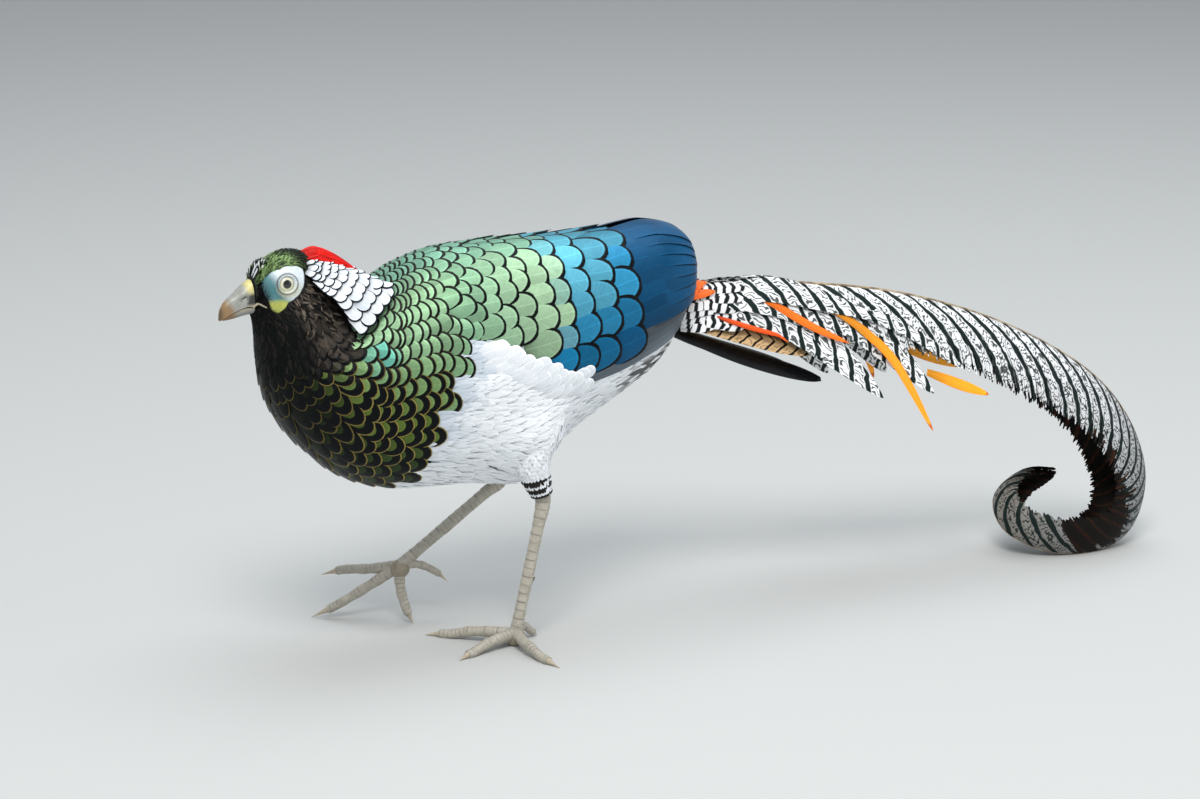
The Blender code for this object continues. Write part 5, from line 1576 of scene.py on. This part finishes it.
def make_bar_group():
    """Marks of a barred vane, from the millimetres along it and out from its quill.

    A bar is dark where the way along plus sweep times the way out lies within half a width of a whole
    number of pitches. Between the bars run fine wriggling lines at even steps outward, bent by noise.
    """
    group, given, result = new_group(
        "tail bars", [("Pitch", "Float"), ("Width", "Float"), ("Sweep", "Float"), ("Fine", "Float")],
        [("Mask", "Float"), ("Tone", "Float")])
    tree = group
    q, out, _ = numbers_of(tree, vane_place(tree))
    m = abs(out)
    pitch, width, sweep, strength = (Number(tree, given.outputs[label])
                                     for label in ("Pitch", "Width", "Sweep", "Fine"))
    spot = vector_of(tree, q * 0.11, out * 0.16)
    cloud = noise(tree, spot, 1.0, 3.0)
    b = q + m * sweep + (cloud - 0.5) * pitch * 0.45
    phase = b.math("FRACT", b / pitch)
    away = abs(phase - 0.5) * pitch
    half, soft = width * 0.5, width * 0.12
    bar = smooth_step(tree, half + soft, half - soft, away)
    steps = m * 2.0 + q * 0.30
    fine = q.math("SINE", steps + noise(tree, spot, 1.15, 1.0) * 26.0)
    clear = smooth_step(tree, half + 0.5, half + 1.3, away)
    line = smooth_step(tree, 0.25, 0.60, fine) * clear * smooth_step(tree, 1.0, 3.0, m) * strength
    link(tree, bar.math("MAXIMUM", bar, line), result.inputs["Mask"])
    link(tree, cloud, result.inputs["Tone"])
    return group


BAR_GROUP = make_bar_group()


def barred_material(name, ground, dark, pitch, width, sweep, fine, roughness):
    """A barred vane's finish: ground colour times the feather's own tint, crossed by dark bars."""
    material, shader, tree = plain_material(name, ground, roughness)
    node = tree.nodes.new("ShaderNodeGroup")
    node.node_tree = BAR_GROUP
    for label, value in (("Pitch", pitch), ("Width", width), ("Sweep", sweep), ("Fine", fine)):
        node.inputs[label].default_value = value
    base = mix_colour(tree, 1.0, tuple(ground), attribute(tree, "tint", "Color"), "MULTIPLY")
    base = brighter(tree, base, 0.80 + Number(tree, node.outputs["Tone"]) * 0.36)
    link(tree, mix_colour(tree, node.outputs["Mask"], base, tuple(dark)), shader.inputs["Base Color"])
    shader.inputs["Specular IOR Level"].default_value = 0.15
    return material


long_top = barred_material("long tail vanes", paint("#eef0f2"), paint("#12211f"), 15.5, 5.4, -0.30, 0.9,
                           0.45)
# long_shaded_under is painted shade: a near-black, brown-barred finish laid on the curl where the long
# feather faces away from the light, standing for its shaded underside; the vane itself is not turned there.
long_shaded_under = barred_material("long tail underside in painted shade", paint("#553016"), paint("#0f0b08"), 15.5, 12.5, -0.30,
                             1.0, 0.6)
UNDERSIDE_SHADE = [(0.0, 1.3), (0.50, 1.3), (0.56, 0.96), (0.63, 0.90), (0.68, 0.70), (0.71, 0.55), (0.735, 0.25),
          (0.76, 0.06), (0.785, 0.14), (0.80, 0.55), (0.82, 1.3), (1.0, 1.3)]


def barb_bundles(side, lift, narrow, spacing, rows=12, columns=4):
    """Bundles of barbs on one side: each leaves the quill and sweeps to the tip with its own lean.

    It runs on along the feather by the vane's reach times 1.2 of its part across less 0.25 of that
    part squared.
    """
    q = np.arange(6.0, TAIL_LENGTH - 2.0, spacing)
    q = q + rng.normal(0, 0.15 * spacing, len(q))
    t = q / TAIL_LENGTH
    reach = tail_half_width(t)
    k = np.linspace(0.0, 1.0, rows)[None, :]
    r = k * (rng.uniform(0.93, 1.03, len(q)) * narrow)[:, None]
    ahead = reach[:, None] * (1.2 * r - 0.25 * r * r) * rng.uniform(0.97, 1.03, len(q))[:, None]
    here = np.minimum((q[:, None] + ahead) / TAIL_LENGTH, 1.0)
    high = lift + 0.30 * rng.random(len(q))[:, None] + 1.2 * np.sin(pi * r)
    line = tail_side(here, side * r, high, 0.0)
    drop = rng.uniform(0.0, 0.8, len(q))[:, None] * np.maximum(k - 0.8, 0) * 5
    line[..., 2] = np.maximum(line[..., 2] - drop, 0.25)
    outer = tail_side(here, side * r, high + 1.0, 0.0) - tail_side(here, side * r, high, 0.0)
    half = 0.5 * spacing * (1.6 - 0.35 * k ** 3) * np.ones_like(r)
    half[:, -1] = 0.35
    blank = ribbons(line, unit(outer), half, columns, thick=0.35)
    across = np.linspace(-1.0, 1.0, columns)
    along_mm = q[:, None, None] + 1.25 * side * half[:, :, None] * across
    outward = side * (r * reach[:, None])[:, :, None] * np.ones(columns)
    local = together(along_mm, outward)
    inner = local[:, 1:-1, 1:-1].reshape(len(q), -1, 2)
    blank["local"] = np.concatenate([local.reshape(len(q), -1, 2), inner], axis=1)
    wave = 0.06 * np.sin(0.21 * q) + 0.04 * np.sin(0.47 * q)
    # Painted shade: along the curl, barbs of one vane past this limit take the dark underside finish.
    limit = profile(UNDERSIDE_SHADE, here) + (wave + rng.normal(0, 0.08, len(q)))[:, None]
    underside_shade = (r > limit) & (side == 1)
    underside_shade = np.repeat(underside_shade[:, 1:], columns - 1, axis=1)
    blank["under"] = np.concatenate([underside_shade, np.ones_like(underside_shade)], axis=1)
    return blank, t


def quill_tube(lift, sides=14):
    """The quill of a long feather, a round rod that thins evenly to the tip."""
    t = np.linspace(0.02, 0.985, 260)
    route = tail_side(t, 0 * t, lift, 0.0)
    radii = 1.35 - 0.95 * t
    route[:, 2] = np.maximum(route[:, 2], radii + 0.05)
    return solid_rings(tube_rings(route, radii, sides))


long_quill, shader, tree = plain_material("tail quill", paint("#a08c70"), 0.4)
streak = noise(tree, tree.nodes.new("ShaderNodeTexCoord").outputs["Object"], 140.0, 4.0)
link(tree, mix_colour(tree, smooth_step(tree, 0.35, 0.65, streak), paint("#6e5a42"), paint("#b5a284")),
     shader.inputs["Base Color"])
# Painted shade: the long feathers' tint falls from full white to about a third towards the curl and the
# tip, where they face away from the light.
LONG_PAINTED_SHADE = [(0.0, 1.0), (0.40, 1.0), (0.50, 0.84), (0.58, 0.56), (0.66, 0.34), (0.80, 0.28), (1.0, 0.32)]
for word, lift, narrow in (("left", 0.6, 1.0), ("right", -1.9, 0.93)):
    blanks, tones, roots_t = [], [], []
    for side in (1, -1):
        blank, t = barb_bundles(side, lift, narrow, 1.8)
        shaded_tone = profile(LONG_PAINTED_SHADE, t)[:, None] * np.ones(3)
        shaded_tone = shaded_tone * toward(np.ones(3), np.array((1.0, 0.92, 0.80)), fade(0.72, 0.88, t))
        tones.append(shaded_tone)
        blanks.append(blank)
        roots_t.append(together(0.02 + 0.94 * t, (0.90 if word == "left" else 0.95) + 0.02 * side))
    tones = np.concatenate(tones) * rng.uniform(0.94, 1.04, sum(map(len, tones)))[:, None]
    nodes = tuple("tail_" + word + "_" + str(number) for number in (2, 3, 4, 5))
    piece = feather_piece("long_feather_" + word, blanks, np.concatenate(roots_t), tones,
                          np.zeros((len(tones), 3)), long_top, nodes)
    piece.data.materials.append(long_shaded_under)
    under = np.concatenate([blank["under"].ravel() for blank in blanks])
    piece.data.polygons.foreach_set("material_index", under.astype(np.int32))
    points, quads, fans = quill_tube(lift - 0.2)
    fasten(build_mesh("long_quill_" + word, points, [quads, fans], None, None, None, None, 60), long_quill)

# Tail, shorter feathers
# Barred coverts with orange tips, orange plumes, and short outer feathers that show below the vault.

cover_finish = barred_material("barred coverts", paint("#ecedee"), paint("#0f1718"), 6.2, 2.7, 0.35, 0.0,
                               0.5)
tuft_finish = barred_material("long coverts", paint("#eef0f1"), paint("#12211f"), 14.0, 4.6, -0.9, 0.9, 0.5)
buff_finish = barred_material("buff outer feathers", paint("#cfae80"), paint("#1a1410"), 8.5, 2.0, 0.9,
                              0.5, 0.5)
plume_finish = feather_material("orange plumes", paint("#c84a08"), paint("#ffb35a"), 2.4, 160.0, 0.5, 0.5,
                                0.0)
black_finish = feather_material("black tail feather", paint("#030405"), paint("#3a3f45"), 2.6, 200.0, 0.4,
                                0.25, 0.2)


def curved_on(surface, knots, low, high, rows):
    """Centre lines through a root, a middle and a tip place each, in the surface's own measure."""
    t = feather_steps(rows)
    place = smooth_through((0.0, 0.5, 1.0), np.moveaxis(np.asarray(knots, float), 1, 0).reshape(3, -1), t)
    place = np.moveaxis(place.reshape(rows, -1, 2), 0, 1)
    lift = np.reshape(low, (-1, 1)) + np.reshape(np.asarray(high) - low, (-1, 1)) * np.minimum(t * 2.5, 1.0)
    lines = surface(place[..., 0], place[..., 1], lift)
    return lines, unit(surface(place[..., 0], place[..., 1], lift + 1.0) - lines)


def measured(blank, lines, half):
    """Turns a blank's own measure into mm along it and mm out from its quill, for barred finishes."""
    full = np.repeat(run_along(lines)[:, :, None], blank["columns"], axis=2)
    along = np.concatenate([full.reshape(len(lines), -1), full[:, 1:-1, 1:-1].reshape(len(lines), -1)],
                           axis=1)
    along = along + 50.0 * np.arange(len(lines))[:, None]
    blank["local"] = together(along, blank["local"][..., 0] * np.reshape(half, (-1, 1)))
    return blank


def tail_uv(rows):
    """A place for each short tail feather beside the long ones on the bake map."""
    return together(0.02 + 0.9 * rows[:, 0], 0.975 + 0.008 * np.clip(rows[:, 1], -1, 1))


rows = []
for row, (t0, length, count) in enumerate(((0.002, 0.042, 13), (0.010, 0.050, 13), (0.024, 0.054, 13),
                                           (0.040, 0.056, 11))):
    v = np.linspace(-1.0, 1.0, count) * (1.25 + 0.08 * row) + rng.normal(0, 0.04, count)
    rows.append(together(t0, 0.7 * v, t0 + length + rng.normal(0, 0.006, count), v))
rows = np.concatenate(rows)
lines, outs = route_on(tail_side, *rows.T, -1.0, 3.0 + 0.8 * rng.random(len(rows)), 18)
half = rng.uniform(4.0, 5.2, len(rows))
laid = measured(ribbons(lines, outs, half, 9, 1.9, 0.5, 0.5, 0.2, 0.6, 0.4), lines, half)
tone = np.ones((len(rows), 3)) * rng.uniform(0.88, 1.03, len(rows))[:, None]
feather_piece("tail_coverts", laid, tail_uv(rows), tone, np.zeros((len(rows), 3)), cover_finish,
              ("tail_base",))
tips = np.array([(0.01, side * v, 0.046 + 0.005 * number, side * (v + 0.08)) for side in (1, -1)
                 for number, v in enumerate((0.20, 0.10, 0.0, 0.32))])
lines, outs = route_on(tail_side, *tips.T, 2.5, 5.6, 14)
marks = together(0.10, 0.5, rng.random(len(tips)))
feather_piece("orange_tips", ribbons(lines, outs, np.full(len(tips), 3.4), 7, 2.0, 0.5, 0.6, 0.2, 0.5, 0.4),
              tail_uv(tips), paint("#e8641a") * rng.uniform(0.8, 1.1, len(tips))[:, None], marks,
              plume_finish)
TUFTS = [(((0.03, 0.10), (0.14, 0.35), (0.24, 0.66)), 10.0, 4.0),
         (((0.03, 0.28), (0.12, 0.68), (0.20, 1.15)), 10.0, 3.8),
         (((0.04, 0.45), (0.11, 1.05), (0.180, 1.72)), 10.0, 3.4),
         (((0.05, 0.50), (0.15, 1.15), (0.243, 2.05)), 12.5, 2.8),
         (((0.14, 0.40), (0.23, 0.85), (0.312, 1.62)), 12.5, 2.2),
         (((0.15, 0.15), (0.26, 0.50), (0.350, 1.02)), 11.0, 1.7)]
knots = np.array([[(at, side * v) for at, v in tuft[0]] for side in (1, -1) for tuft in TUFTS])
half, high = (np.tile([tuft[k] for tuft in TUFTS], 2) for k in (1, 2))
lines, outs = curved_on(tail_side, knots, -1.0 + 0 * high, high, 70)
laid = measured(ribbons(lines, outs, half, 13, 1.5, 0.45, 0.5, 0.06, 1.6, 0.4), lines, half)
laid["local"][..., 1] = 30.0 - np.sign(knots[:, 2, 1:2]) * laid["local"][..., 1]
feather_piece("long_coverts", laid, tail_uv(knots[:, 2]), np.ones((len(knots), 3)),
              np.zeros((len(knots), 3)), tuft_finish)
PLUMES = [(((0.095, 0.55), (0.152, 1.06), (0.203, 1.24)), 2.8, 6.0, "#ee7318"),
          (((0.05, 0.95), (0.09, 1.45), (0.135, 1.85)), 1.7, 5.0, "#e4500f"),
          (((0.18, 0.55), (0.250, 1.22), (0.307, 2.32)), 3.4, 6.0, "#f59a1c"),
          (((0.305, 1.27), (0.345, 1.29), (0.388, 1.27)), 3.8, 0.6, "#f8a31a")]
knots = np.array([[(at, side * v) for at, v in plume[0]] for side in (1, -0.8) for plume in PLUMES])
half, high = (np.tile([plume[k] for plume in PLUMES], 2) for k in (1, 2))
lines, outs = curved_on(tail_side, knots, 0.5 * high, high, 50)
laid = ribbons(lines, outs, half, 7, 1.8, 0.5, 0.6, 0.1, 0.6, 0.5)
marks = together(0.06, 0.4, rng.random(len(half)))
tone = np.tile([paint(plume[3]) for plume in PLUMES], (2, 1))
feather_piece("plumes", laid, tail_uv(knots[:, 2]), tone, marks, plume_finish)
SIDE_FEATHERS = [((120, -9, 184), (165, -16, 171), (214, -24, 155), 8.5),
                 ((118, -11, 177), (165, -17, 157), (222, -21, 136), 7.0),
                 ((120, -5, 188), (170, -9, 177), (232, -12, 163), 8.0)]
for number, finish in ((0, buff_finish), (1, black_finish), (2, buff_finish)):
    *knots, half = SIDE_FEATHERS[number]
    lines = np.stack([smooth_through((0, 0.5, 1), np.array(knots, float) * (1, side, 1),
                                     np.linspace(0, 1, 40))
                      for side in (1, -1)])
    outs = unit(np.array((0.1, 0.0, 1.0))) + 0 * lines + np.array([[[0, -0.9, 0]], [[0, 0.9, 0]]])
    laid = ribbons(lines, unit(outs), np.full(2, half), 7, 2.2, 0.6, 0.45, 0.25, 0.8, 0.5)
    if finish is buff_finish:
        laid = measured(laid, lines, np.full(2, half))
    marks = together(0.08, 0.3, rng.random(2))
    tone = np.broadcast_to((1.0, 1.0, 1.0) if finish is buff_finish else paint("#0a0c10"), (2, 3))
    feather_piece("outer_feathers_" + str(number + 1), laid, np.array([[0.97, 0.90], [0.97, 0.95]]), tone,
                  marks, finish)
